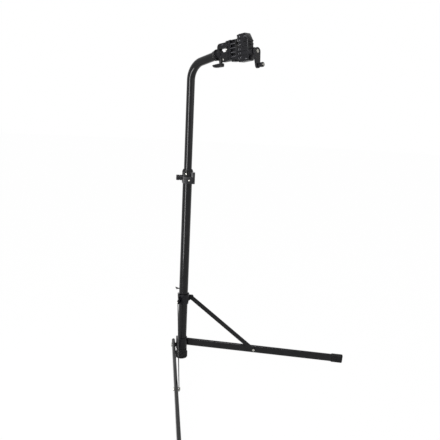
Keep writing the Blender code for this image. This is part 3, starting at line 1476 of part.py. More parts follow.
def build_moving_jaw(head):
    """Builds the moving jaw, its pad and the guide rod that slides in the yoke."""
    slide = frame("jaw_slide", head)
    jaw = extruded(
        "moving_jaw",
        [
            [
                (MOVING_JAW_FACE, -MOVING_JAW_HALF_HEIGHT),
                (MOVING_JAW_BACK - JAW_CORNER, -MOVING_JAW_HALF_HEIGHT),
                (MOVING_JAW_BACK, -MOVING_JAW_HALF_HEIGHT + JAW_CORNER),
                (MOVING_JAW_BACK, MOVING_JAW_HALF_HEIGHT - JAW_SLOPE_HEIGHT),
                (MOVING_JAW_BACK - JAW_SLOPE_LENGTH, MOVING_JAW_HALF_HEIGHT),
                (MOVING_JAW_FACE, MOVING_JAW_HALF_HEIGHT),
            ]
        ],
        "Y",
        -JAW_WIDTH / 2,
        JAW_WIDTH / 2,
    )
    round_edges(jaw, 0.0015, 1)
    boss = rod(
        "moving_jaw_boss",
        JAW_BOSS_RADIUS,
        (MOVING_JAW_BACK - CUT_MARGIN, 0, SCREW_HEIGHT),
        (MOVING_JAW_BACK + JAW_BOSS_LENGTH, 0, SCREW_HEIGHT),
    )
    join(jaw, place(boss, slide))
    for i, height in enumerate(JAW_RIB_HEIGHTS):
        rib = box(
            f"moving_jaw_rib_{i}",
            (MOVING_JAW_BACK - CUT_MARGIN, -JAW_WIDTH / 4, height - JAW_RIB_THICK / 2),
            (MOVING_JAW_BACK + JAW_RIB_REACH, JAW_WIDTH / 4, height + JAW_RIB_THICK / 2),
        )
        join(jaw, place(rib, slide))
    pad_back = MOVING_JAW_FACE + PAD_THICK
    pad_top = MOVING_JAW_HALF_HEIGHT - 0.0015
    recess = box(
        "moving_jaw_recess",
        (MOVING_JAW_FACE - CUT_MARGIN, -JAW_WIDTH, PAD_BOTTOM),
        (pad_back + GAP, JAW_WIDTH, MOVING_JAW_HALF_HEIGHT + CUT_MARGIN),
    )
    rod_bore = rod(
        "moving_jaw_rod_bore",
        GUIDE_ROD_RADIUS + GAP,
        (MOVING_JAW_FACE - CUT_MARGIN, 0, GUIDE_ROD_HEIGHT),
        (GUIDE_ROD_END + GAP, 0, GUIDE_ROD_HEIGHT),
    )
    screw_bore = rod(
        "moving_jaw_screw_bore",
        SCREW_RADIUS + GAP,
        (MOVING_JAW_FACE - CUT_MARGIN, 0, SCREW_HEIGHT),
        (CRANK_HUB_START + CUT_MARGIN, 0, SCREW_HEIGHT),
    )
    collar_pocket = rod(
        "moving_jaw_collar_pocket",
        SCREW_COLLAR_RADIUS + GAP,
        (MOVING_JAW_FACE - CUT_MARGIN, 0, SCREW_HEIGHT),
        (MOVING_JAW_FACE + SCREW_COLLAR_THICK + 2 * GAP, 0, SCREW_HEIGHT),
    )
    cut(jaw, place(recess, slide), place(rod_bore, slide))
    cut(jaw, place(screw_bore, slide), place(collar_pocket, slide))
    heights = [MOVING_SLOT_FIRST + MOVING_SLOT_STEP * i for i in range(MOVING_SLOT_COUNT)]
    jaw_slots(
        jaw,
        slide,
        "moving_jaw",
        heights,
        MOVING_SLOT_TALL,
        MOVING_SLOT_DEPTH,
        MOVING_SLOT_START,
        MOVING_SLOT_END,
    )
    part(place(jaw, slide), "casting")

    pad = extruded(
        "moving_jaw_pad",
        [pad_outline(MOVING_JAW_FACE, pad_back, -1, pad_top)],
        "Y",
        -JAW_WIDTH / 2,
        JAW_WIDTH / 2,
    )
    part(place(pad, slide), "rubber")
    guide = rod(
        "guide_rod",
        GUIDE_ROD_RADIUS,
        (GUIDE_ROD_START, 0, GUIDE_ROD_HEIGHT),
        (GUIDE_ROD_END, 0, GUIDE_ROD_HEIGHT),
        ROUND_SMALL,
    )
    part(place(guide, slide), "steel")
    return slide


def build_crank(slide):
    """Builds the lead screw with its collar, and the crank with its bolt, knob and knob screw."""
    turn = frame("crank_turn", slide, (0, 0, SCREW_HEIGHT))
    seat = SCREW_SEAT_RADIUS
    bolt_seat = CRANK_FACE - CRANK_BOLT_SINK
    screw_end = bolt_seat - GAP
    bolt_bore = CRANK_BOLT_RADIUS + THREAD_GAP
    bolt_floor = screw_end - CRANK_BOLT_DEPTH - GAP
    screw = turned(
        "lead_screw",
        [
            (0, bolt_floor),
            (bolt_bore, bolt_floor),
            (bolt_bore, screw_end),
            (seat, screw_end),
            (seat, CRANK_HUB_START),
            (SCREW_RADIUS, CRANK_HUB_START),
            (SCREW_RADIUS, SCREW_START + 0.001),
            (SCREW_RADIUS - 0.001, SCREW_START),
            (0, SCREW_START),
        ],
        ROUND_SMALL,
    )
    part(place(screw, turn, (0, 0, 0), TURN_Z_TO_X), "steel")
    collar_start = MOVING_JAW_FACE + GAP
    collar_end = collar_start + SCREW_COLLAR_THICK
    collar = turned(
        "screw_collar",
        ring_profile(SCREW_RADIUS + GAP, SCREW_COLLAR_RADIUS, collar_start, collar_end),
        ROUND_SMALL,
    )
    part(place(collar, turn, (0, 0, 0), TURN_Z_TO_X), "steel")

    outline = capsule(CRANK_LENGTH, CRANK_EYE_RADIUS, CRANK_END_RADIUS, 10)
    down = [(y, -x * (CRANK_EYE_FLATNESS if x < 0 else 1)) for x, y in outline]
    crank = extruded("crank_arm", [down], "X", CRANK_PLATE_START, CRANK_FACE)
    round_edges(crank, 0.0015, 1)
    hub_end = CRANK_PLATE_START + CUT_MARGIN
    hub = rod("crank_hub", CRANK_HUB_RADIUS, (CRANK_HUB_START + GAP, 0, 0), (hub_end, 0, 0))
    seat_bore = rod("crank_seat_bore", seat + GAP, (0, 0, 0), (CRANK_FACE + CUT_MARGIN, 0, 0), ROUND_SMALL)
    bolt_bed = rod(
        "crank_bolt_bed",
        CRANK_BOLT_HEAD_RADIUS + GAP,
        (bolt_seat, 0, 0),
        (CRANK_FACE + CUT_MARGIN, 0, 0),
        ROUND_SMALL,
    )
    knob_place = (0, 0, -CRANK_LENGTH)
    screw_depth = CRANK_FACE - KNOB_SCREW_DEPTH
    knob_bore = rod(
        "crank_knob_bore",
        KNOB_SCREW_RADIUS + THREAD_GAP,
        (screw_depth - GAP, 0, 0),
        (CRANK_FACE + CUT_MARGIN, 0, 0),
        ROUND_SMALL,
    )
    join(crank, place(hub, turn))
    cut(crank, place(seat_bore, turn), place(bolt_bed, turn), place(knob_bore, turn, knob_place))
    part(place(crank, turn), "casting")

    bolt = turned(
        "crank_bolt",
        headed(CRANK_BOLT_HEAD_RADIUS, CRANK_BOLT_HEAD_HEIGHT, CRANK_BOLT_RADIUS, CRANK_BOLT_DEPTH),
        ROUND_SMALL,
    )
    part(place(bolt, turn, (bolt_seat + GAP, 0, 0), TURN_Z_TO_X), "steel")

    spin = frame("crank_knob_spin", turn, (CRANK_FACE + GAP, 0, -CRANK_LENGTH), TURN_Z_TO_X)
    head_seat = KNOB_LENGTH - KNOB_SCREW_HEAD_HEIGHT - GAP
    knob = turned(
        "crank_knob",
        [
            (KNOB_RADIUS - 0.002, KNOB_LENGTH),
            (KNOB_RADIUS, KNOB_LENGTH - 0.0025),
            (KNOB_RADIUS, KNOB_LENGTH * 0.55),
            (KNOB_RADIUS * 0.85, 0.002),
            (KNOB_RADIUS * 0.85 - 0.001, 0),
            (KNOB_SCREW_RADIUS + GAP, 0),
            (KNOB_SCREW_RADIUS + GAP, head_seat),
            (KNOB_SCREW_HEAD_RADIUS + GAP, head_seat),
            (KNOB_SCREW_HEAD_RADIUS + GAP, KNOB_LENGTH),
        ],
        24,
    )
    part(place(knob, spin), "plastic")
    knob_screw = turned(
        "crank_knob_screw",
        headed(
            KNOB_SCREW_HEAD_RADIUS,
            KNOB_SCREW_HEAD_HEIGHT,
            KNOB_SCREW_RADIUS,
            head_seat + 2 * GAP + KNOB_SCREW_DEPTH,
        ),
        ROUND_SMALL,
    )
    part(place(knob_screw, spin, (0, 0, head_seat + GAP)), "steel")


def main():
    """Builds the whole stand."""
    stand = frame("stand")
    build_foot_and_mast(stand)
    build_bracket(stand)
    for name, side in SIDES:
        leg = build_leg(stand, name, side)
        build_brace(leg, name, side)
    build_collar(stand)
    build_clamp(stand)
    arm = build_upper_mast(stand)
    head = build_head(arm)
    slide = build_moving_jaw(head)
    build_crank(slide)


main()
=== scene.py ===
"""Looks of the portable bike work stand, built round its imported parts.

The finishes come first, then a class for each sub-assembly, then the lamps and the setting. Pieces whose
solid form is already right are carried over as merged copies with softened edges. Tubes, bolts, rubber
feet, knobs and the lead screw are modelled anew at a finer grain. All sizes are in metres, in the frame of
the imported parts.
"""

import json
import logging
import math
from dataclasses import dataclass
from enum import Enum
from typing import Callable, Sequence

import bmesh
import bpy
from mathutils import Matrix, Vector


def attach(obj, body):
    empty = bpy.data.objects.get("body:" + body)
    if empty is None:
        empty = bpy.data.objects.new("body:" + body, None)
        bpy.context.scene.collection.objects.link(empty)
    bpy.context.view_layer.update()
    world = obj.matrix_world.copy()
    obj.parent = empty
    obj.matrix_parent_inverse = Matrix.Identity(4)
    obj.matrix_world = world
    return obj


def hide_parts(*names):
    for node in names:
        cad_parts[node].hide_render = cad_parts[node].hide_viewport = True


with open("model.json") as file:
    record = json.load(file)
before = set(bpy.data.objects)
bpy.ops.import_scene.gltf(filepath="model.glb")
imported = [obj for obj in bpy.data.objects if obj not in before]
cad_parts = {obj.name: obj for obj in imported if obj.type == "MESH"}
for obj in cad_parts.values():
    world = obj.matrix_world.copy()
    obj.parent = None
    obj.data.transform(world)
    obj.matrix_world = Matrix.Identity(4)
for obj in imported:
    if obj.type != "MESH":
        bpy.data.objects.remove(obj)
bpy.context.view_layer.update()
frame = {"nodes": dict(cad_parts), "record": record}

log = logging.getLogger("bike_stand")

Colour = tuple[float, float, float]
Triple = tuple[float, float, float]
Point = tuple[float, float]

MERGE_DISTANCE = 0.000002
FLAT_ANGLE = math.radians(1)
SHARP_ANGLE = math.radians(38)
FULL_TURN = 2 * math.pi
WHITE = (1, 1, 1, 1)

# Turns what is drawn along Z to lie along X, with its X to the side and its Y up.
LAID_ALONG_X = Matrix(((0, 0, 1), (1, 0, 0), (0, 1, 0))).to_4x4()

# The sockets of a colour mix, which share their names with those of its other kinds.
MIX_FACTOR = 0
MIX_FIRST = 6
MIX_SECOND = 7
MIX_RESULT = 2


class Finish(Enum):
    """The finishes on the stand, each named for its slot in the record."""

    MAST_ENAMEL = "mast_enamel"
    ARM_ENAMEL = "arm_enamel"
    DIE_CAST = "die_cast"
    HEAD_NYLON = "head_nylon"
    BLACK_NYLON = "black_nylon"
    ZINC = "zinc"
    RUBBER = "rubber"


class Side(Enum):
    """The two sides of the stand, each with its sign across it."""

    RIGHT = 1
    LEFT = -1

    @property
    def label(self) -> str:
        """Gives the side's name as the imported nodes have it."""
        return self.name.lower()


class NodeGraph:
    """Adds nodes to one shader tree and links them."""

    def __init__(self, tree: bpy.types.NodeTree) -> None:
        """Keeps the tree that the nodes go into.

        Args:
            tree: A material's or a group's node tree.
        """
        self.tree = tree

    def add(self, kind: str, values: dict[str, object] | None = None, **settings: object) -> bpy.types.Node:
        """Adds a node.

        Args:
            kind: The node's type name.
            values: Default values of its input sockets, by socket name.
            settings: Properties of the node itself.

        Returns:
            The new node.
        """
        node = self.tree.nodes.new(kind)
        for name, setting in settings.items():
            setattr(node, name, setting)
        for name, value in (values or {}).items():
            node.inputs[name].default_value = value
        return node

    def link(self, source: bpy.types.NodeSocket, target: bpy.types.NodeSocket) -> None:
        """Links one socket to another."""
        self.tree.links.new(source, target)

    def remap(self, source: bpy.types.NodeSocket, span: Point, result: Point) -> bpy.types.NodeSocket:
        """Maps a value from one span to another, held at the ends.

        Args:
            source: The value.
            span: Its low and high ends.
            result: What these ends become.

        Returns:
            The mapped value's socket.
        """
        values = {"From Min": span[0], "From Max": span[1], "To Min": result[0], "To Max": result[1]}
        node = self.add("ShaderNodeMapRange", values)
        self.link(source, node.inputs["Value"])
        return node.outputs["Result"]

    def product(self, first: bpy.types.NodeSocket, second: bpy.types.NodeSocket) -> bpy.types.NodeSocket:
        """Multiplies two values.

        Args:
            first: The first value.
            second: The second value.

        Returns:
            The product's socket.
        """
        node = self.add("ShaderNodeMath", operation="MULTIPLY")
        self.link(first, node.inputs[0])
        self.link(second, node.inputs[1])
        return node.outputs[0]

    def tint(self, mask: bpy.types.NodeSocket, plain: Colour, changed: Colour) -> bpy.types.NodeSocket:
        """Mixes two colours by a mask.

        Args:
            mask: 0 for the plain colour and 1 for the changed one.
            plain: The first colour.
            changed: The second colour.

        Returns:
            The mixed colour's socket.
        """
        node = self.add("ShaderNodeMix", data_type="RGBA")
        node.inputs[MIX_FIRST].default_value = (*plain, 1)
        node.inputs[MIX_SECOND].default_value = (*changed, 1)
        self.link(mask, node.inputs[MIX_FACTOR])
        return node.outputs[MIX_RESULT]


class SharedEffects:
    """The node groups that more than one finish uses, each built once."""

    def __init__(self) -> None:
        """Builds the groups."""
        self.grain = self._grain()
        self.scuffs = self._scuffs()
        # The corner band is partly wear and partly a painted highlight.
        self.edges = self._edges()
        self.dust = self._dust()

    @staticmethod
    def _group(
        name: str, inputs: dict[str, float], output: str
    ) -> tuple[NodeGraph, bpy.types.Node, bpy.types.Node]:
        """Starts a group with named values in and one value out.

        Args:
            name: The group's name.
            inputs: Its inputs and their defaults.
            output: Its output's name.

        Returns:
            The graph, the input node and the output node.
        """
        tree = bpy.data.node_groups.new(name, "ShaderNodeTree")
        for label, default in inputs.items():
            socket = tree.interface.new_socket(label, in_out="INPUT", socket_type="NodeSocketFloat")
            socket.default_value = default
        tree.interface.new_socket(output, in_out="OUTPUT", socket_type="NodeSocketFloat")
        graph = NodeGraph(tree)
        return graph, graph.add("NodeGroupInput"), graph.add("NodeGroupOutput")

    def _grain(self) -> bpy.types.NodeTree:
        """Makes the fine texture of a moulded or sprayed surface.

        Returns:
            The group's tree.
        """
        graph, given, result = self._group("surface_grain", {"Scale": 900.0, "Detail": 3.0}, "Height")
        place = graph.add("ShaderNodeTexCoord")
        noise = graph.add("ShaderNodeTexNoise", {"Roughness": 0.55})
        graph.link(place.outputs["Object"], noise.inputs["Vector"])
        graph.link(given.outputs["Scale"], noise.inputs["Scale"])
        graph.link(given.outputs["Detail"], noise.inputs["Detail"])
        graph.link(noise.outputs["Fac"], result.inputs["Height"])
        return graph.tree

    def _scuffs(self) -> bpy.types.NodeTree:
        """Makes patchy rubbing with short scratches in it.

        Returns:
            The group's tree.
        """
        graph, given, result = self._group("handling_scuffs", {"Scale": 14.0, "Amount": 0.4}, "Mask")
        place = graph.add("ShaderNodeTexCoord")
        patches = graph.add("ShaderNodeTexNoise", {"Detail": 5.0, "Roughness": 0.6})
        graph.link(place.outputs["Object"], patches.inputs["Vector"])
        graph.link(given.outputs["Scale"], patches.inputs["Scale"])
        patch = graph.remap(patches.outputs["Fac"], (0.48, 0.72), (0, 1))
        stretch = graph.add("ShaderNodeMapping", {"Rotation": (0.4, 0.7, 0.3), "Scale": (30, 260, 410)})
        graph.link(place.outputs["Object"], stretch.inputs["Vector"])
        streaks = graph.add("ShaderNodeTexNoise", {"Scale": 1.0, "Detail": 2.0})
        graph.link(stretch.outputs["Vector"], streaks.inputs["Vector"])
        streak = graph.remap(streaks.outputs["Fac"], (0.56, 0.66), (0.25, 1))
        rubbed = graph.product(patch, streak)
        graph.link(graph.product(rubbed, given.outputs["Amount"]), result.inputs["Mask"])
        return graph.tree

    def _edges(self) -> bpy.types.NodeTree:
        """Makes the lighter line along corners, partly wear and partly a painted highlight.

        Returns:
            The group's tree.
        """
        graph, given, result = self._group("edge_wear", {"Radius": 0.0008, "Amount": 0.5}, "Mask")
        rounded = graph.add("ShaderNodeBevel", samples=4)
        graph.link(given.outputs["Radius"], rounded.inputs["Radius"])
        surface = graph.add("ShaderNodeNewGeometry")
        facing = graph.add("ShaderNodeVectorMath", operation="DOT_PRODUCT")
        graph.link(rounded.outputs["Normal"], facing.inputs[0])
        graph.link(surface.outputs["Normal"], facing.inputs[1])
        corner = graph.remap(facing.outputs["Value"], (0.97, 0.75), (0, 1))
        place = graph.add("ShaderNodeTexCoord")
        noise = graph.add("ShaderNodeTexNoise", {"Scale": 70.0, "Detail": 3.0})
        graph.link(place.outputs["Object"], noise.inputs["Vector"])
        broken = graph.remap(noise.outputs["Fac"], (0.4, 0.62), (0.2, 1))
        # Corner mask: partly wear, partly a painted highlight.
        worn = graph.product(corner, broken)
        graph.link(graph.product(worn, given.outputs["Amount"]), result.inputs["Mask"])
        return graph.tree

    def _dust(self) -> bpy.types.NodeTree:
        """Makes the pale film that settles on what faces up.

        Returns:
            The group's tree.
        """
        graph, given, result = self._group("settled_dust", {"Scale": 40.0, "Amount": 0.1}, "Mask")
        surface = graph.add("ShaderNodeNewGeometry")
        split = graph.add("ShaderNodeSeparateXYZ")
        graph.link(surface.outputs["Normal"], split.inputs["Vector"])
        upward = graph.remap(split.outputs["Z"], (0.25, 1.0), (0, 1))
        place = graph.add("ShaderNodeTexCoord")
        noise = graph.add("ShaderNodeTexNoise", {"Detail": 6.0})
        graph.link(place.outputs["Object"], noise.inputs["Vector"])
        graph.link(given.outputs["Scale"], noise.inputs["Scale"])
        settled = graph.product(upward, noise.outputs["Fac"])
        graph.link(graph.product(settled, given.outputs["Amount"]), result.inputs["Mask"])
        return graph.tree


@dataclass(frozen=True)
class Coating:
    """One finish of the stand, from its colour down to its grain.

    Attributes:
        colour: The main colour.
        worn: The colour where it has been scuffed, and of the painted highlight along its corners.
        dusty: The colour under dust.
        roughness: Roughness where the surface is untouched and where it is rubbed.
        metallic: 1 for bare metal.
        grain_scale: How fine the surface's texture is.
        grain_depth: How deep the texture is, in metres.
        mottle: How much the colour varies in patches.
        scuff: How much rubbing shows.
        edge: How strong the pale band along corners is, partly wear and partly a painted highlight.
        edge_width: How wide that band is, in metres.
        dust: How much dust lies on top.
        specular: The strength of reflections on what isn't metal.
    """

    colour: Colour
    worn: Colour
    dusty: Colour = (0.30, 0.29, 0.27)
    roughness: Point = (0.30, 0.45)
    metallic: float = 0.0
    grain_scale: float = 900.0
    grain_depth: float = 0.00002
    mottle: float = 0.2
    scuff: float = 0.4
    edge: float = 0.4
    edge_width: float = 0.0008
    dust: float = 0.06
    specular: float = 0.5

    def build(self, name: str, effects: SharedEffects) -> bpy.types.Material:
        """Makes the material.

        Args:
            name: The material's name.
            effects: The shared node groups.

        Returns:
            The new material.
        """
        material = bpy.data.materials.new(name)
        material.use_nodes = True
        material.diffuse_color = (*self.colour, 1)
        graph = NodeGraph(material.node_tree)
        shader = graph.tree.nodes["Principled BSDF"]
        shader.inputs["Metallic"].default_value = self.metallic
        shader.inputs["Specular IOR Level"].default_value = self.specular

        grain = graph.add("ShaderNodeGroup", node_tree=effects.grain)
        grain.inputs["Scale"].default_value = self.grain_scale
        scuffs = graph.add("ShaderNodeGroup", node_tree=effects.scuffs)
        scuffs.inputs["Amount"].default_value = self.scuff
        # The corner band: partly wear, partly a painted highlight.
        edges = graph.add("ShaderNodeGroup", node_tree=effects.edges)
        edges.inputs["Amount"].default_value = self.edge
        edges.inputs["Radius"].default_value = self.edge_width
        dust = graph.add("ShaderNodeGroup", node_tree=effects.dust)
        dust.inputs["Amount"].default_value = self.dust

        place = graph.add("ShaderNodeTexCoord")
        patches = graph.add("ShaderNodeTexNoise", {"Scale": 24.0, "Detail": 4.0})
        graph.link(place.outputs["Object"], patches.inputs["Vector"])
        deep = tuple(channel * (1 - self.mottle) for channel in self.colour)
        pale = tuple(channel * (1 + self.mottle) for channel in self.colour)
        base = graph.tint(graph.remap(patches.outputs["Fac"], (0.35, 0.65), (0, 1)), deep, pale)

        # Scuffs and the corner band together: wear, and along corners also a painted highlight.
        rubbed = graph.add("ShaderNodeMath", operation="MAXIMUM")
        graph.link(scuffs.outputs["Mask"], rubbed.inputs[0])
        graph.link(edges.outputs["Mask"], rubbed.inputs[1])
        worn = graph.add("ShaderNodeMix", data_type="RGBA")
        worn.inputs[MIX_SECOND].default_value = (*self.worn, 1)
        graph.link(rubbed.outputs[0], worn.inputs[MIX_FACTOR])
        graph.link(base, worn.inputs[MIX_FIRST])
        dusty = graph.add("ShaderNodeMix", data_type="RGBA")
        dusty.inputs[MIX_SECOND].default_value = (*self.dusty, 1)
        graph.link(dust.outputs["Mask"], dusty.inputs[MIX_FACTOR])
        graph.link(worn.outputs[MIX_RESULT], dusty.inputs[MIX_FIRST])
        graph.link(dusty.outputs[MIX_RESULT], shader.inputs["Base Color"])

        smooth, rough = self.roughness
        shine = graph.add("ShaderNodeMath", operation="ADD")
        graph.link(graph.remap(rubbed.outputs[0], (0, 1), (smooth, rough)), shine.inputs[0])
        graph.link(graph.remap(patches.outputs["Fac"], (0.3, 0.7), (-0.03, 0.05)), shine.inputs[1])
        graph.link(shine.outputs[0], shader.inputs["Roughness"])

        bump = graph.add("ShaderNodeBump", {"Strength": 0.6, "Distance": self.grain_depth})
        graph.link(grain.outputs["Height"], bump.inputs["Height"])
        graph.link(bump.outputs["Normal"], shader.inputs["Normal"])
        return material


# The pale corner band of each finish is partly wear and partly a painted highlight; on the die cast and both
# nylons it is mostly the painted highlight.
COATINGS = {
    Finish.MAST_ENAMEL: Coating(
        colour=(0.0022, 0.0022, 0.0027),
        worn=(0.030, 0.030, 0.033),
        roughness=(0.16, 0.32),
        grain_scale=520.0,
        grain_depth=0.000008,
        scuff=0.30,
        edge=0.25,
        dust=0.012,
        specular=0.22,
    ),
    Finish.ARM_ENAMEL: Coating(
        colour=(0.0016, 0.0016, 0.0021),
        worn=(0.025, 0.025, 0.028),
        roughness=(0.13, 0.26),
        grain_scale=340.0,
        grain_depth=0.000006,
        scuff=0.25,
        edge=0.2,
        dust=0.012,
        specular=0.26,
    ),
    Finish.DIE_CAST: Coating(
        colour=(0.0042, 0.0042, 0.0052),
        worn=(0.20, 0.20, 0.21),
        roughness=(0.30, 0.46),
        grain_scale=700.0,
        grain_depth=0.00006,
        scuff=0.10,
        edge=0.7,
        edge_width=0.0006,
        dust=0.03,
        specular=0.2,
    ),
    Finish.HEAD_NYLON: Coating(
        colour=(0.0024, 0.0024, 0.0034),
        worn=(0.17, 0.17, 0.185),
        roughness=(0.32, 0.48),
        grain_scale=1100.0,
        grain_depth=0.00006,
        scuff=0.06,
        edge=0.6,
        edge_width=0.0006,
        dust=0.015,
        specular=0.17,
    ),
    Finish.BLACK_NYLON: Coating(
        colour=(0.0026, 0.0026, 0.0033),
        worn=(0.09, 0.09, 0.10),
        roughness=(0.34, 0.52),
        grain_scale=1000.0,
        grain_depth=0.00005,
        scuff=0.10,
        edge=0.6,
        edge_width=0.0006,
        dust=0.03,
        specular=0.17,
    ),
    Finish.ZINC: Coating(
        colour=(0.44, 0.435, 0.40),
        worn=(0.58, 0.575, 0.55),
        dusty=(0.36, 0.34, 0.31),
        roughness=(0.36, 0.50),
        metallic=1.0,
        grain_scale=600.0,
        grain_depth=0.00002,
        mottle=0.08,
        edge=0.3,
        dust=0.12,
    ),
    Finish.RUBBER: Coating(
        colour=(0.005, 0.005, 0.0055),
        worn=(0.032, 0.031, 0.030),
        roughness=(0.62, 0.80),
        grain_scale=1400.0,
        grain_depth=0.00010,
        mottle=0.3,
        scuff=0.5,
        edge=0.45,
        dust=0.04,
        specular=0.15,
    ),
}

# The head's raised mouldings, coloured paler than the nylon round them as a painted highlight.
HIGHLIGHT_NYLON = Coating(
    colour=(0.05, 0.05, 0.056),
    worn=(0.22, 0.22, 0.235),
    roughness=(0.26, 0.40),
    grain_scale=1100.0,
    grain_depth=0.00003,
    edge=0.5,
    edge_width=0.0005,
    dust=0.03,
    specular=0.45,
)


class Workshop:
    """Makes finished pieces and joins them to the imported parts."""

    def __init__(self) -> None:
        """Builds the finishes and reads which node belongs to which body and slot."""
        effects = SharedEffects()
        self.materials = {}
        for finish, coating in COATINGS.items():
            self.materials[finish] = coating.build(finish.value, effects)
        # A paler copy of the head nylon for the raised mouldings: a painted highlight.
        self.rubbed = HIGHLIGHT_NYLON.build("rubbed_nylon", effects)
        record = frame["record"]
        bodies = record["behaviour"]["bodies"]
        self.body_of = {node: body for body, nodes in bodies.items() for node in nodes}
        self.finish_of = {row["node"]: Finish(row["material_slot"]) for row in record["subparts"]}

    def add(
        self, name: str, shape: bmesh.types.BMesh, node: str, *, soften: float = 0.0
    ) -> bpy.types.Object:
        """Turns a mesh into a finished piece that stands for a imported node.

        Args:
            name: The piece's name.
            shape: The mesh, which is used up.
            node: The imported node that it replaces, and whose body and slot it takes.
            soften: The width of the rounding on hard edges, or 0.

        Returns:
            The new object.
        """
        piece = self.extra(name, shape, self.body_of[node], self.finish_of[node], soften=soften)
        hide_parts(node)
        return piece

    def extra(
        self, name: str, shape: bmesh.types.BMesh, body: str, finish: Finish, *, soften: float = 0.0
    ) -> bpy.types.Object:
        """Turns a mesh into a finished piece of its own.

        Args:
            name: The piece's name.
            shape: The mesh, which is used up.
            body: The body that it rides on.
            finish: Its finish.
            soften: The width of the rounding on hard edges, or 0.

        Returns:
            The new object.
        """
        mesh = bpy.data.meshes.new(name)
        shape.to_mesh(mesh)
        shape.free()
        mesh.shade_smooth()
        mesh.set_sharp_from_angle(angle=SHARP_ANGLE)
        piece = bpy.data.objects.new(name, mesh)
        bpy.context.scene.collection.objects.link(piece)
        mesh.materials.append(self.materials[finish])
        if soften:
            bevel = piece.modifiers.new("softened_edges", "BEVEL")
            bevel.width = soften
            bevel.segments = 2
            bevel.limit_method = "ANGLE"
            bevel.angle_limit = SHARP_ANGLE
            bevel.harden_normals = True
        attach(piece, body)
        log.info("%s rides on %s in %s", name, body, finish.value)
        return piece

    def moulding(self, name: str, shape: bmesh.types.BMesh, body: str) -> bpy.types.Object:
        """Turns a mesh into a raised moulding of head nylon, smoother and coloured paler as a painted
        highlight.

        Args:
            name: The piece's name.
            shape: The mesh, which is used up.
            body: The body that it rides on.

        Returns:
            The new object.
        """
        piece = self.extra(name, shape, body, Finish.HEAD_NYLON)
        # Swaps in the paler nylon: a painted highlight.
        piece.data.materials[0] = self.rubbed
        return piece

    def carry_over(self, node: str, soften: float = 0.0004) -> bpy.types.Object:
        """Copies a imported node, merges the copy and softens its edges.

        Args:
            node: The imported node.
            soften: The width of the rounding.

        Returns:
            The new object.
        """
        return self.add(f"{node}_surface", self.copy_of(node), node, soften=soften)

    @staticmethod
    def copy_of(node: str) -> bmesh.types.BMesh:
        """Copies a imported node's mesh, merges its corners and joins its flat faces.

        Args:
            node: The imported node.

        Returns:
            The mesh.
        """
        shape = bmesh.new()
        shape.from_mesh(frame["nodes"][node].data)
        bmesh.ops.remove_doubles(shape, verts=shape.verts, dist=MERGE_DISTANCE)
        bmesh.ops.dissolve_limit(shape, angle_limit=FLAT_ANGLE, verts=shape.verts, edges=shape.edges)
        return shape


def turned(profile: Sequence[Point], steps: int, matrix: Matrix) -> bmesh.types.BMesh:
    """Spins a profile about its own Z.

    Args:
        profile: Radius and height of each point; the profile is closed on the axis or on itself.
        steps: The number of steps in the turn.
        matrix: Where the piece goes.

    Returns:
        The mesh.
    """
    shape = bmesh.new()
    verts = [shape.verts.new((radius, 0, height)) for radius, height in profile]
    pairs = list(zip(verts, verts[1:]))
    if profile[0][0] > 0 and profile[-1][0] > 0:
        pairs.append((verts[-1], verts[0]))
    edges = [shape.edges.new(pair) for pair in pairs]
    bmesh.ops.spin(
        shape,
        geom=verts + edges,
        cent=(0, 0, 0),
        axis=(0, 0, 1),
        angle=FULL_TURN,
        steps=steps,
        use_merge=True,
    )
    bmesh.ops.remove_doubles(shape, verts=shape.verts, dist=MERGE_DISTANCE)
    bmesh.ops.recalc_face_normals(shape, faces=shape.faces)
    bmesh.ops.transform(shape, matrix=matrix, verts=shape.verts)
    return shape


def reshape_turned(
    shape: bmesh.types.BMesh, matrix: Matrix, scale: Callable[[float, float, float], float]
) -> None:
    """Moves the points of a turned piece in or out from its axis.

    Args:
        shape: The turned mesh.
        matrix: Where the piece is.
        scale: Gives the factor for a point's radius, height and turn.
    """
    back = matrix.inverted()
    for vert in shape.verts:
        local = back @ vert.co
        radius = math.hypot(local.x, local.y)
        factor = scale(radius, local.z, math.atan2(local.y, local.x))
        vert.co = matrix @ Vector((local.x * factor, local.y * factor, local.z))


def sweep(shape: bmesh.types.BMesh, path: Sequence[Vector], loop: Sequence[Point]) -> tuple[list, list]:
    """Extrudes a closed loop along a path.

    Args:
        shape: The mesh that the wall goes into.
        path: The points of the path.
        loop: The loop's points across the path, first axis to the side and second axis up.

    Returns:
        The edges of the first loop and of the last.
    """
    headings = [(b - a).normalized() for a, b in zip(path, path[1:])]
    tangents = [headings[0]]
    tangents += [(a + b).normalized() for a, b in zip(headings, headings[1:])]
    tangents.append(headings[-1])
    turn = Vector((0, 0, 1)).rotation_difference(tangents[0])
    place = Matrix.Translation(path[0]) @ turn.to_matrix().to_4x4()
    verts = [shape.verts.new(place @ Vector((x, y, 0))) for x, y in loop]
    edges = [shape.edges.new(pair) for pair in zip(verts, verts[1:] + verts[:1])]
    first = list(edges)
    for i in range(1, len(path)):
        turn = tangents[i - 1].rotation_difference(tangents[i]) @ turn
        target = Matrix.Translation(path[i]) @ turn.to_matrix().to_4x4()
        grown = bmesh.ops.extrude_edge_only(shape, edges=edges)["geom"]
        moved = [item for item in grown if isinstance(item, bmesh.types.BMVert)]
        bmesh.ops.transform(shape, matrix=target @ place.inverted(), verts=moved)
        edges = [item for item in grown if isinstance(item, bmesh.types.BMEdge)]
        place = target
    return first, edges


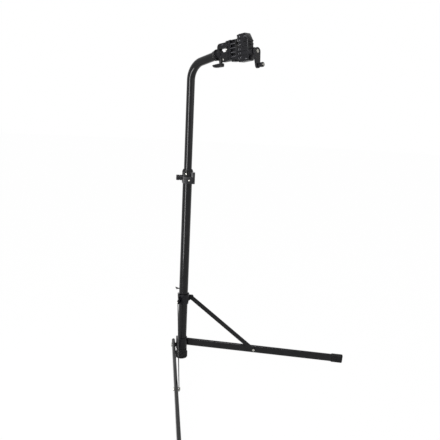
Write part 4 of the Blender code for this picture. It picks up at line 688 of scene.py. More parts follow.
def pipe(path: Sequence[Vector], outer: Sequence[Point], inner: Sequence[Point]) -> bmesh.types.BMesh:
    """Makes a tube along a path, with its wall closed at both ends.

    Args:
        path: The points of the path.
        outer: The outer loop across it.
        inner: The inner loop, with as many points.

    Returns:
        The mesh.
    """
    shape = bmesh.new()
    outside = sweep(shape, path, outer)
    inside = sweep(shape, path, inner)
    for rim, bore in zip(outside, inside):
        inner_rim = {vert for edge in bore for vert in edge.verts}
        for vert in bmesh.ops.extrude_edge_only(shape, edges=rim)["geom"]:
            if isinstance(vert, bmesh.types.BMVert):
                vert.co = min((other.co for other in inner_rim), key=lambda co: (co - vert.co).length)
    bmesh.ops.remove_doubles(shape, verts=shape.verts, dist=MERGE_DISTANCE)
    bmesh.ops.recalc_face_normals(shape, faces=shape.faces)
    return shape


def circle(radius: float, steps: int) -> list[Point]:
    """Lists the points of a circle."""
    angles = [FULL_TURN * i / steps for i in range(steps)]
    return [(radius * math.cos(angle), radius * math.sin(angle)) for angle in angles]


def eased_corner(corner: Point, before: Point, after: Point, ease: float) -> list[Point]:
    """Rounds a square corner of a profile with three points.

    Args:
        corner: The corner.
        before: The direction from the corner back along the profile.
        after: The direction from the corner on along the profile.
        ease: How far from the corner the rounding starts.

    Returns:
        The points in order.
    """
    x, z = corner
    inset = 0.3 * ease
    return [
        (x + before[0] * ease, z + before[1] * ease),
        (x + (before[0] + after[0]) * inset, z + (before[1] + after[1]) * inset),
        (x + after[0] * ease, z + after[1] * ease),
    ]


def flat_oval(width: float, height: float, steps: int) -> list[Point]:
    """Lists the outline of a bar with round ends, upright.

    Args:
        width: Its width across.
        height: Its height with the round ends.
        steps: The number of steps in each end.

    Returns:
        The points.
    """
    radius = width / 2
    lift = height / 2 - radius
    points = []
    for start, centre in ((0, lift), (math.pi, -lift)):
        for i in range(steps + 1):
            angle = start + math.pi * i / steps
            points.append((radius * math.cos(angle), centre + radius * math.sin(angle)))
    return points


def plate(outline: Sequence[Point], low: float, high: float, matrix: Matrix) -> bmesh.types.BMesh:
    """Extrudes an outline drawn in X and Z along Y.

    Args:
        outline: The outline's points.
        low: The lower Y.
        high: The upper Y.
        matrix: Where the piece goes.

    Returns:
        The mesh.
    """
    shape = bmesh.new()
    face = shape.faces.new([shape.verts.new((x, low, z)) for x, z in outline])
    grown = bmesh.ops.extrude_face_region(shape, geom=[face])["geom"]
    moved = [item for item in grown if isinstance(item, bmesh.types.BMVert)]
    bmesh.ops.translate(shape, vec=(0, high - low, 0), verts=moved)
    bmesh.ops.recalc_face_normals(shape, faces=shape.faces)
    bmesh.ops.transform(shape, matrix=matrix, verts=shape.verts)
    return shape


def raised_bar(shape: bmesh.types.BMesh, size: Sequence[float], matrix: Matrix, ease: float) -> None:
    """Adds a bar with eased edges to a mesh.

    Args:
        shape: The mesh.
        size: The bar's length, width and height.
        matrix: Where its middle goes.
        ease: How far its edges are rounded.
    """
    verts = bmesh.ops.create_cube(shape, size=1.0)["verts"]
    bmesh.ops.scale(shape, vec=size, verts=verts)
    edges = list({edge for vert in verts for edge in vert.link_edges})
    rounded = bmesh.ops.bevel(
        shape,
        geom=edges,
        offset=ease,
        offset_type="OFFSET",
        segments=2,
        profile=0.5,
        affect="EDGES",
        clamp_overlap=True,
        material=-1,
    )["verts"]
    bmesh.ops.transform(shape, matrix=matrix, verts=list({*rounded}))


def placed(location: Sequence[float] = (0, 0, 0), rotation: Sequence[float] = (0, 0, 0)) -> Matrix:
    """Gives the matrix of a place and a turn about X, then Y, then Z.

    Args:
        location: The place.
        rotation: The three angles.

    Returns:
        The matrix.
    """
    x, y, z = rotation
    turn = Matrix.Rotation(z, 4, "Z") @ Matrix.Rotation(y, 4, "Y") @ Matrix.Rotation(x, 4, "X")
    return Matrix.Translation(location) @ turn


def radial(azimuth: float, distance: float, height: float = 0.0) -> Vector:
    """Gives the point at a distance from the mast's axis in a compass direction."""
    return Vector((distance * math.cos(azimuth), distance * math.sin(azimuth), height))


@dataclass(frozen=True)
class SocketBolt:
    """A low-headed bolt with a hexagonal socket.

    Attributes:
        head_radius: The head's radius.
        head_height: The head's height.
        shank_radius: The shank's radius.
        shank_length: The shank's length under the head.
        steps: The number of steps round it, a multiple of six.
    """

    head_radius: float
    head_height: float
    shank_radius: float
    shank_length: float
    steps: int = 36

    def build(self, matrix: Matrix) -> bmesh.types.BMesh:
        """Makes the bolt with its seat on the matrix's Z plane.

        Args:
            matrix: Where the bolt goes.

        Returns:
            The mesh.
        """
        radius = self.head_radius
        height = self.head_height
        socket = radius * 0.52
        floor = height * 0.35
        crown = height * 0.92
        widening = 1.04
        profile = [
            (0, floor),
            (socket * 0.98, floor),
            (socket, crown - height * 0.06),
            (socket * 1.06, crown),
            (radius * 0.74, height),
            (radius * 0.92, height * 0.86),
            (radius, height * 0.55),
            (radius, height * 0.12),
            (radius * 0.97, 0),
            (self.shank_radius, 0),
            (self.shank_radius, -self.shank_length + self.shank_radius * 0.2),
            (self.shank_radius * 0.85, -self.shank_length),
            (0, -self.shank_length),
        ]
        shape = turned(profile, self.steps, matrix)

        def hexagon(distance: float, level: float, turn: float) -> float:
            """Gives the factor that makes the socket's wall six-sided.

            Args:
                distance: The point's distance from the bolt's axis.
                level: Its height over the bolt's seat.
                turn: Its angle round the axis.

            Returns:
                The factor for its radius.
            """
            if level < floor - height * 0.01 or distance > socket * 1.1:
                return 1.0
            sixth = math.pi / 3
            offset = (turn % sixth) - sixth / 2
            return math.cos(sixth / 2) / math.cos(offset) * widening

        reshape_turned(shape, matrix, hexagon)
        return shape


@dataclass
class Mast:
    """The rubber foot, the lower tube, its bushing, the stop screw and the leg bracket.

    Attributes:
        radius: The lower tube's outer radius.
        wall: The tube's wall.
        bottom: The height of the tube's lower end.
        top: The height of its upper end.
        foot_radius: The rubber foot's radius at its tread.
        foot_neck: The foot's radius round the tube.
        foot_height: The foot's height.
        foot_step: The height of the step from tread to neck.
        foot_floor: The rubber's thickness under the tube.
        foot_ease: How far the tread's corners are rounded.
        lip_ease: How far the foot's upper lip is rounded inside, and half as far as outside.
        neck_fillet: How high the fillet from step to neck rises.
        neck_flare: How far out that fillet reaches.
        ring_heights: The middle of each ring moulded into the tread.
        ring_depth: How deep a ring is, and half its width.
        gap: The gap between the tube and the foot.
        steps: The number of steps round the mast.
    """

    radius: float = 0.019
    wall: float = 0.0015
    bottom: float = 0.0043
    top: float = 0.797
    foot_radius: float = 0.026
    foot_neck: float = 0.0225
    foot_height: float = 0.038
    foot_step: float = 0.024
    foot_floor: float = 0.004
    foot_ease: float = 0.002
    lip_ease: float = 0.0004
    neck_fillet: float = 0.003
    neck_flare: float = 0.0009
    ring_heights: tuple[float, ...] = (0.0185, 0.0150, 0.0115, 0.0080)
    ring_depth: float = 0.0009
    gap: float = 0.0003
    steps: int = 96

    def build(self, workshop: Workshop) -> None:
        """Makes the mast's pieces.

        Args:
            workshop: Where the pieces are finished.
        """
        self._tube(workshop)
        self._foot(workshop)
        workshop.carry_over("mast_bushing", soften=0.0003)
        workshop.carry_over("stop_screw", soften=0.0005)
        workshop.carry_over("leg_bracket", soften=0.0006)

    def _tube(self, workshop: Workshop) -> None:
        """Makes the lower tube with eased rims.

        Args:
            workshop: Where the pieces are finished.
        """
        inner = self.radius - self.wall
        rim = self.wall / 4
        profile = [
            (self.radius - rim, self.top),
            (self.radius, self.top - rim),
            (self.radius, self.bottom + rim),
            (self.radius - rim, self.bottom),
            (inner + rim, self.bottom),
            (inner, self.bottom + rim),
            (inner, self.top - rim),
            (inner + rim, self.top),
        ]
        workshop.add("lower_mast_tube", turned(profile, self.steps, Matrix()), "lower_mast")

    def _foot(self, workshop: Workshop) -> None:
        """Makes the rubber foot with its moulded rings.

        Args:
            workshop: Where the pieces are finished.
        """
        bore = self.radius + self.gap
        outer = self.foot_radius
        neck = self.foot_neck
        top = self.foot_height
        lip = self.lip_ease
        profile = [(0, self.foot_floor), (bore, self.foot_floor)]
        profile += [(bore, top - lip), (bore + lip, top)]
        profile += [(neck - 2 * lip, top), (neck, top - 2 * lip), (neck, self.foot_step + self.neck_fillet)]
        profile += [(neck + self.neck_flare, self.foot_step + 2 * lip)]
        profile += eased_corner((outer, self.foot_step), (-1, 0), (0, -1), self.foot_ease)
        depth = self.ring_depth
        for height in self.ring_heights:
            profile += [(outer, height + depth), (outer - depth, height + depth / 2)]
            profile += [(outer - depth, height - depth / 2), (outer, height - depth)]
        profile += eased_corner((outer, 0), (0, 1), (-1, 0), self.foot_ease)
        profile += [(0, 0)]
        workshop.add("mast_foot_rubber", turned(profile, self.steps, Matrix()), "mast_foot")


@dataclass
class Leg:
    """One folding leg with its plug, foot, bolts and brace.

    Attributes:
        side: Which leg it is.
        spread: The leg's compass turn from straight ahead.
        offset: How far the leg's middle plane is from the mast's axis.
        pivot_height: The pivot's height.
        tall: The tube's height across.
        thick: The tube's width across.
        wall: The tube's wall.
        tail: How far the tube runs back past the pivot.
        tube_end: How far from the pivot the tube ends.
        reach: How far from the pivot the leg ends.
        boot_length: The rubber end's length.
        boot_width: The rubber end's width across.
        boot_height: The rubber end's height across.
        boot_wall: What the rubber's wall takes off the width on both sides of its pocket together.
        boot_chamfer: How deep the pocket's mouth is widened.
        boot_lip: How far from the mouth each point of the lip is, and how much wider than the end.
        boot_tip: How far from the closed end each point of its rounding is, and how much wider.
        boot_rings: How far from its mouth each ring of the rubber end is.
        ring_half: Half the width of a ring at its top.
        ring_floor: Half its width at its floor.
        ring_depth: How much narrower the rubber is in a ring.
        sole_flat: How much of the round sole the floor cuts off.
        brace_place: How far from the pivot the brace's bolt is.
        brace_offset: How far the brace's middle plane is from the mast's axis.
        brace_length: The distance between the brace's eyes.
        brace_width: The brace's width.
        brace_thick: The brace's thickness.
        nut_height: The height of the nut behind the brace.
        collar_reach: How far from the mast's axis the collar's ear holds the brace.
        rivet_dome: Radius and height of each point of the rivet's dome.
        rivet_shank: The rivet's shank radius.
        rivet_depth: How deep the rivet goes.
        gap: The running gap.
        tube_steps: The number of steps in a round side of the tube.
        boot_steps: The number of steps in a round side of the rubber.
        brace_steps: The number of steps in a round end of the brace.
        rivet_steps: The number of steps round the rivet.
    """

    side: Side
    spread: float = math.radians(40)
    offset: float = 0.036
    pivot_height: float = 0.055
    tall: float = 0.034
    thick: float = 0.014
    wall: float = 0.0015
    tail: float = 0.020
    tube_end: float = 0.6905
    reach: float = 0.714
    boot_length: float = 0.048
    boot_width: float = 0.019
    boot_height: float = 0.039
    boot_wall: float = 0.005
    boot_chamfer: float = 0.0005
    boot_lip: tuple[Point, ...] = ((0, -0.0042), (0, -0.0030), (0.0008, -0.0006), (0.0025, 0))
    boot_tip: tuple[Point, ...] = ((0.0030, 0), (0.0010, -0.0008), (0.0002, -0.0022), (0, -0.0040))
    boot_rings: tuple[float, ...] = (0.012, 0.018, 0.024)
    ring_half: float = 0.0012
    ring_floor: float = 0.0005
    ring_depth: float = 0.0014
    sole_flat: float = 0.0008
    brace_place: float = 0.318
    brace_offset: float = 0.025
    brace_length: float = 0.3647
    brace_width: float = 0.019
    brace_thick: float = 0.003
    nut_height: float = 0.0032
    collar_reach: float = 0.033
    rivet_dome: tuple[Point, ...] = (
        (0, 0.0019),
        (0.0024, 0.0018),
        (0.0046, 0.0013),
        (0.0062, 0.0006),
        (0.0065, 0),
    )
    rivet_shank: float = 0.003
    rivet_depth: float = 0.0033
    gap: float = 0.0003
    tube_steps: int = 16
    boot_steps: int = 14
    brace_steps: int = 20
    rivet_steps: int = 32

    def __post_init__(self) -> None:
        """Works out the side's sign, the leg's own axes and its brace's."""
        self.sign = self.side.value
        direction = -math.pi / 2 + self.sign * self.spread
        normal = -math.pi / 2 + self.sign * (self.spread + math.pi / 2)
        slope = math.asin((self.pivot_height - self.boot_height / 2 + self.sole_flat) / self.reach)
        self.axes = placed(radial(normal, self.offset, self.pivot_height), (0, slope, direction))
        run = self.brace_place * math.cos(slope) - self.collar_reach
        rise = math.sqrt(self.brace_length**2 - run**2)
        swing = math.atan2(rise, run) - math.pi - slope
        sideways = self.sign * (self.brace_offset - self.offset)
        self.brace_axes = self.axes @ placed((self.brace_place, sideways, 0), (0, swing, 0))

    def outward(self, x: float, y: float) -> Matrix:
        """Gives the place of a bolt at a point on the leg, with its head facing out."""
        return self.axes @ placed((x, self.sign * y, 0), (-self.sign * math.pi / 2, 0, 0))

    def build(self, workshop: Workshop) -> None:
        """Makes the leg's pieces.

        Args:
            workshop: Where the pieces are finished.
        """
        name = self.side.label
        self._tube(workshop)
        self._foot(workshop)
        self._brace(workshop)
        self._rivet(workshop)
        workshop.carry_over(f"leg_plug_{name}", soften=0.0003)
        workshop.carry_over(f"leg_washer_{name}", soften=0.0003)
        workshop.carry_over(f"brace_spacer_{name}", soften=0.0002)
        workshop.carry_over(f"brace_nut_{name}", soften=0.0004)
        self._bolts(workshop)

    def _bolts(self, workshop: Workshop) -> None:
        """Makes the pivot bolt, which ends just short of the mast, and the brace's bolt.

        Args:
            workshop: Where the pieces are finished.
        """
        name = self.side.label
        half = self.thick / 2 + self.gap
        pivot = SocketBolt(
            head_radius=0.0085,
            head_height=0.003,
            shank_radius=0.004,
            shank_length=half + self.offset - Mast.radius - 2 * self.gap,
        )
        shape = pivot.build(self.outward(0, half))
        workshop.add(f"leg_pivot_bolt_{name}_head", shape, f"leg_pivot_bolt_{name}")
        across = half + self.offset - self.brace_offset + self.brace_thick / 2
        bolt = SocketBolt(
            head_radius=0.0065,
            head_height=0.003,
            shank_radius=0.003,
            shank_length=across + self.nut_height + 2 * self.gap,
        )
        shape = bolt.build(self.outward(self.brace_place, half))
        workshop.add(f"brace_bolt_{name}_head", shape, f"brace_bolt_{name}")

    def _tube(self, workshop: Workshop) -> None:
        """Makes the flat-oval tube.

        Args:
            workshop: Where the pieces are finished.
        """
        name = self.side.label
        walls = 2 * self.wall
        outer = flat_oval(self.thick, self.tall, self.tube_steps)
        inner = flat_oval(self.thick - walls, self.tall - walls, self.tube_steps)
        shape = pipe([Vector((0, 0, -self.tail)), Vector((0, 0, self.tube_end))], outer, inner)
        bmesh.ops.transform(shape, matrix=self.axes @ LAID_ALONG_X, verts=shape.verts)
        workshop.add(f"leg_tube_{name}_oval", shape, f"leg_tube_{name}", soften=0.0004)

    def _foot(self, workshop: Workshop) -> None:
        """Makes the rubber end with its rings, flat where it stands on the floor.

        Args:
            workshop: Where the pieces are finished.
        """
        name = self.side.label
        shape = bmesh.new()
        mouth = self.reach - self.boot_length
        pocket = 2 * self.gap - self.boot_wall
        rows = [(self.tube_end + self.gap, pocket), (mouth + self.boot_chamfer, pocket)]
        rows += [(mouth + place, grow) for place, grow in self.boot_lip]
        for place in self.boot_rings:
            x = mouth + place
            rows += [(x - self.ring_half, 0), (x - self.ring_floor, -self.ring_depth)]
            rows += [(x + self.ring_floor, -self.ring_depth), (x + self.ring_half, 0)]
        rows += [(self.reach - place, grow) for place, grow in self.boot_tip]
        edges = []
        first = []
        for x, grow in rows:
            ring = flat_oval(self.boot_width + grow, self.boot_height + grow, self.boot_steps)
            verts = [shape.verts.new((px, py, x)) for px, py in ring]
            loop = [shape.edges.new(pair) for pair in zip(verts, verts[1:] + verts[:1])]
            if edges:
                bmesh.ops.bridge_loops(shape, edges=edges + loop)
            else:
                first = loop
            edges = loop
        for loop in (first, edges):
            bmesh.ops.edgenet_fill(shape, edges=loop)
        bmesh.ops.recalc_face_normals(shape, faces=shape.faces)
        bmesh.ops.transform(shape, matrix=self.axes @ LAID_ALONG_X, verts=shape.verts)
        cut = bmesh.ops.bisect_plane(
            shape,
            geom=shape.verts[:] + shape.edges[:] + shape.faces[:],
            plane_co=(0, 0, 0),
            plane_no=(0, 0, -1),
            clear_outer=True,
        )["geom_cut"]
        rim = [item for item in cut if isinstance(item, bmesh.types.BMEdge)]
        bmesh.ops.holes_fill(shape, edges=rim, sides=0)
        bmesh.ops.recalc_face_normals(shape, faces=shape.faces)
        workshop.add(f"leg_foot_{name}_rubber", shape, f"leg_foot_{name}")

    def _brace(self, workshop: Workshop) -> None:
        """Makes the flat brace bar with its round ends.

        Args:
            workshop: Where the pieces are finished.
        """
        name = self.side.label
        radius = self.brace_width / 2
        steps = self.brace_steps
        outline = []
        for centre, start in ((0.0, math.pi / 2), (self.brace_length, -math.pi / 2)):
            for i in range(steps + 1):
                angle = start + math.pi * i / steps
                outline.append((centre + radius * math.cos(angle), radius * math.sin(angle)))
        bar = plate(outline, -self.brace_thick / 2, self.brace_thick / 2, self.brace_axes)
        workshop.add(f"brace_{name}_bar", bar, f"brace_{name}", soften=0.0006)

    def _rivet(self, workshop: Workshop) -> None:
        """Makes the rivet at the brace's upper end.

        Args:
            workshop: Where the pieces are finished.
        """
        name = self.side.label
        seat = self.sign * (self.brace_thick / 2 + self.gap)
        matrix = self.brace_axes @ placed((self.brace_length, seat, 0), (-self.sign * math.pi / 2, 0, 0))
        profile = [*self.rivet_dome, (self.rivet_shank, 0)]
        profile += [(self.rivet_shank, -self.rivet_depth), (0, -self.rivet_depth)]
        dome = turned(profile, self.rivet_steps, matrix)
        workshop.add(f"brace_rivet_{name}_dome", dome, f"brace_rivet_{name}")


@dataclass
class Collar:
    """The collar that slides on the mast, with its cam lever.

    Attributes:
        soften: The width of the rounding on the collar and its lever.
        pin_soften: The width of the rounding on the lever's pin.
    """

    soften: float = 0.0006
    pin_soften: float = 0.0002

    def build(self, workshop: Workshop) -> None:
        """Makes the collar's pieces.

        Args:
            workshop: Where the pieces are finished.
        """
        workshop.carry_over("slide_collar", soften=self.soften)
        workshop.carry_over("collar_lever", soften=self.soften)
        workshop.carry_over("collar_lever_pin", soften=self.pin_soften)


@dataclass
class MastClamp:
    """The quick clamp between the two tubes.

    Attributes:
        azimuth: How far the clamp is turned about the mast.
        bolt_out: How far the bolt is from the mast's axis.
        bolt_height: The bolt's height.
        bolt_radius: The bolt's radius.
        nut_face: How far to the side the nut starts.
        nut_radius: The nut's radius.
        nut_length: The nut's length.
        nut_floor: How far the bolt's bore stops short of the nut's end.
        nut_step: How deep the groove round the nut is, and how far its face is stepped in.
        nut_ease: How far the nut's rims are rounded.
        nut_dish: How deep the nut's outer face is dished.
        flutes: The number of flutes round the nut.
        flute_steps: The number of steps in a flute.
        flute_depth: How deep a flute is, as a share of the nut's radius.
        gap: The running gap.
        body_top: How far above the bolt the clamp's body ends.
        taper_start: How far above the bolt its taper starts.
        taper_radius: The body's radius at its top.
        lug_front: How far from the mast's axis the lug's face is.
        lug_screw: The lug screw's place from the bolt, sideways and up.
        lever_front: How far from the mast's axis the lever's face is.
        lever_screw: The lever screw's place from the bolt, sideways and up.
    """

    azimuth: float = math.radians(-46)
    bolt_out: float = 0.027
    bolt_height: float = 0.795
    bolt_radius: float = 0.003
    nut_face: float = -0.0173
    nut_radius: float = 0.011
    nut_length: float = 0.0267
    nut_floor: float = 0.0017
    nut_step: float = 0.0014
    nut_ease: float = 0.0004
    nut_dish: float = 0.0006
    flutes: int = 12
    flute_steps: int = 8
    flute_depth: float = 0.05
    gap: float = 0.0003
    body_top: float = 0.033
    taper_start: float = 0.0235
    taper_radius: float = 0.0185
    lug_front: float = 0.034
    lug_screw: Point = (-0.0052, 0.0150)
    lever_front: float = 0.041
    lever_screw: Point = (0.0083, -0.0088)

    def __post_init__(self) -> None:
        """Works out the clamp's axes."""
        self.axes = placed((0, 0, 0), (0, 0, self.azimuth))

    def build(self, workshop: Workshop) -> None:
        """Makes the clamp's pieces.

        Args:
            workshop: Where the pieces are finished.
        """
        self._body(workshop)
        workshop.carry_over("clamp_bolt", soften=0.0003)
        workshop.carry_over("clamp_lever", soften=0.0006)
        workshop.carry_over("clamp_lever_pin", soften=0.0003)
        self._nut(workshop)
        screw = SocketBolt(head_radius=0.0034, head_height=0.0016, shank_radius=0.0016, shank_length=0.0040)
        for name, body, front, (sideways, up) in (
            ("clamp_lug_screw", "base", self.lug_front, self.lug_screw),
            ("clamp_lever_screw", "quick_lever", self.lever_front, self.lever_screw),
        ):
            matrix = self.axes @ placed((sideways, -front, self.bolt_height + up), (math.pi / 2, 0, 0))
            workshop.extra(name, screw.build(matrix), body, Finish.ZINC)

    def _body(self, workshop: Workshop) -> None:
        """Copies the clamp's body and tapers its top.

        Args:
            workshop: Where the pieces are finished.
        """
        shape = workshop.copy_of("mast_clamp")
        geometry = shape.verts[:] + shape.edges[:] + shape.faces[:]
        level = self.bolt_height + self.taper_start
        bmesh.ops.bisect_plane(shape, geom=geometry, plane_co=(0, 0, level), plane_no=(0, 0, 1))
        top = self.bolt_height + self.body_top
        for vert in shape.verts:
            radius = math.hypot(vert.co.x, vert.co.y)
            if vert.co.z > top - MERGE_DISTANCE and radius > self.taper_radius:
                vert.co.x *= self.taper_radius / radius
                vert.co.y *= self.taper_radius / radius
        workshop.add("mast_clamp_surface", shape, "mast_clamp", soften=0.0008)

    def _nut(self, workshop: Workshop) -> None:
        """Makes the fluted nut with a groove round its middle.

        Args:
            workshop: Where the pieces are finished.
        """
        matrix = self.axes @ placed((self.nut_face, -self.bolt_out, self.bolt_height), (0, math.pi / 2, 0))
        radius = self.nut_radius
        step = self.nut_step
        ease = self.nut_ease
        end = -self.nut_length
        middle = end / 2
        bore = self.bolt_radius + self.gap
        dish = self.nut_dish
        profile = [(0, end + self.nut_floor), (bore, end + self.nut_floor), (bore, 0), (radius - step, 0)]
        profile += [(radius - ease, -0.0005), (radius, -0.0015), (radius, middle + step + 2 * ease)]
        profile += [(radius - ease, middle + step), (radius - step, middle + 2 * ease)]
        profile += [(radius - step, middle - 2 * ease), (radius - ease, middle - step)]
        profile += [(radius, middle - step - 2 * ease)]
        profile += [(radius, end + 4 * ease), (radius - ease, end + dish), (radius - 4 * ease, end)]
        profile += [(radius * 0.55, end), (radius * 0.50, end + dish), (0, end + dish)]
        shape = turned(profile, self.flutes * self.flute_steps, matrix)

        def flute(distance: float, level: float, turn: float) -> float:
            """Gives the factor that presses the grip's flutes into the rim.

            Args:
                distance: The point's distance from the nut's axis.
                level: Its height along the axis, which makes no difference here.
                turn: Its angle round the axis.

            Returns:
                The factor for its radius.
            """
            if distance < radius - self.gap:
                return 1.0
            return 1 - self.flute_depth * max(0.0, math.cos(self.flutes * turn)) ** 2

        reshape_turned(shape, matrix, flute)
        workshop.add("clamp_nut_grip", shape, "clamp_nut")


@dataclass
class UpperMast:
    """The bent upper tube, the glide in its foot and the fittings at its arm's end.

    Attributes:
        radius: The tube's outer radius.
        wall: The tube's wall.
        bottom: The height of the tube's lower end.
        height: The height at which the arm's axis leaves the mast's.
        rise: How far the arm rises from the level.
        arm: How far along the arm the tube ends.
        bend: The radius of the bend.
        bend_steps: The number of steps in the bend.
        steps: The number of steps round the tube and the end cap.
        plug_steps: The number of steps round the bolt's plug.
        bushing_steps: The number of steps round the bushing.
        bolt_place: How far along the arm its bolt is.
        bolt_turn: How far round the arm the bolt is turned from the side.
        bolt_tip: How far from the arm's axis the bolt ends, in the spindle's groove.
        bolt_plug: Radius and height of each point of the plug over the bolt's socket.
        cap_gap: The gap between the end cap and the tube.
        cap_outline: Radius and place along the arm of each point on the end cap's outside.
        cap_throat: The radius of the opening in the cap's end.
        flange: The length of the bushing's collar.
        flange_radius: The radius of the bushing's collar.
        flange_flat: How far out the collar's flat faces reach.
        bushing_bore: The radius of the bushing's bore.
        bushing_start: How far along the arm the bushing starts.
        gap: The running gap.
    """

    radius: float = 0.016
    wall: float = 0.0015
    bottom: float = 0.530
    height: float = 1.230
    rise: float = math.radians(12)
    arm: float = 0.1365
    bend: float = 0.069
    bend_steps: int = 36
    steps: int = 72
    plug_steps: int = 36
    bushing_steps: int = 64
    bolt_place: float = 0.130
    bolt_turn: float = math.radians(12)
    bolt_tip: float = 0.0076
    bolt_plug: tuple[Point, ...] = (
        (0, 0.0032),
        (0.0034, 0.0031),
        (0.0046, 0.0028),
        (0.0049, 0.0022),
        (0.0049, 0.0015),
        (0, 0.0015),
    )
    cap_gap: float = 0.0002
    cap_outline: tuple[Point, ...] = (
        (0.0176, 0.1262),
        (0.0184, 0.1270),
        (0.0185, 0.1340),
        (0.0190, 0.1356),
        (0.0203, 0.1372),
        (0.0205, 0.1380),
    )
    cap_throat: float = 0.0154
    flange: float = 0.004
    flange_radius: float = 0.0150
    flange_flat: float = 0.0140
    bushing_bore: float = 0.0103
    bushing_start: float = 0.0955
    gap: float = 0.0003

    def __post_init__(self) -> None:
        """Works out the arm's axes, and the same with Z along the arm for what is turned."""
        self.axes = placed((0, 0, self.height), (0, -self.rise, -math.pi / 2))
        self.along = self.axes @ placed((0, 0, 0), (0, math.pi / 2, 0))

    def path(self) -> list[Vector]:
        """Lists the points of the tube's centre line.

        Returns:
            The foot, the points of the bend and the arm's end.
        """
        turn = math.pi / 2 - self.rise
        start = self.height - self.bend * math.tan(turn / 2)
        points = [Vector((0, 0, self.bottom))]
        for i in range(self.bend_steps + 1):
            angle = turn * i / self.bend_steps
            forward = self.bend * (1 - math.cos(angle))
            points.append(Vector((0, -forward, start + self.bend * math.sin(angle))))
        points.append(self.axes @ Vector((self.arm, 0, 0)))
        return points

    def build(self, workshop: Workshop) -> None:
        """Makes the upper tube and its fittings.

        Args:
            workshop: Where the pieces are finished.
        """
        outer = circle(self.radius, self.steps)
        inner = circle(self.radius - self.wall, self.steps)
        workshop.add("upper_mast_tube", pipe(self.path(), outer, inner), "upper_mast", soften=0.0003)
        workshop.carry_over("mast_glide", soften=0.0003)
        self._bushing(workshop)
        self._bolt(workshop)
        self._end_cap(workshop)

    def _bolt(self, workshop: Workshop) -> None:
        """Makes the arm's bolt and the plug over its socket.

        Args:
            workshop: Where the pieces are finished.
        """
        turn = placed((self.bolt_place, 0, 0), (math.pi / 2 + self.bolt_turn, 0, 0))
        seat = self.radius + self.gap
        matrix = self.axes @ turn @ placed((0, 0, seat))
        bolt = SocketBolt(
            head_radius=0.0055,
            head_height=0.0025,
            shank_radius=0.004,
            shank_length=seat - self.bolt_tip,
        )
        workshop.add("arm_bolt_head", bolt.build(matrix), "arm_bolt")
        plug = turned(self.bolt_plug, self.plug_steps, matrix)
        workshop.extra("arm_bolt_plug", plug, "upper_stand", Finish.BLACK_NYLON)

    def _end_cap(self, workshop: Workshop) -> None:
        """Makes the moulded cap round the arm's end, which flares towards the head.

        Args:
            workshop: Where the pieces are finished.
        """
        gap = self.cap_gap
        bore = self.radius + gap
        end = self.arm + self.flange
        start = self.cap_outline[0][1]
        outer = self.cap_outline[-1][0]
        profile = [(bore, start), *self.cap_outline, (outer, end - 0.0010), (outer - 0.0007, end - gap)]
        profile += [(self.cap_throat, end - gap), (self.cap_throat, self.arm + gap), (bore, self.arm + gap)]
        cap = turned(profile, self.steps, self.along)
        workshop.extra("arm_end_cap", cap, "upper_stand", Finish.BLACK_NYLON)

    def _bushing(self, workshop: Workshop) -> None:
        """Makes the bushing, whose collar at the arm's end has a rolled rim.

        Args:
            workshop: Where the pieces are finished.
        """
        start = self.arm + self.gap
        end = start + self.flange
        sleeve = self.radius - self.wall - self.gap
        bore = self.bushing_bore
        rim = self.flange_radius
        flat = self.flange_flat
        profile = [(flat, end), (rim - 0.0003, end - 0.0003), (rim, end - 0.0011), (rim, start + 0.0010)]
        profile += [(rim - 0.0004, start + 0.0004), (flat, start), (sleeve, start)]
        profile += [(sleeve, self.bushing_start), (bore, self.bushing_start), (bore, end)]
        bushing = turned(profile, self.bushing_steps, self.along)
        workshop.add("arm_bushing_collar", bushing, "arm_bushing")


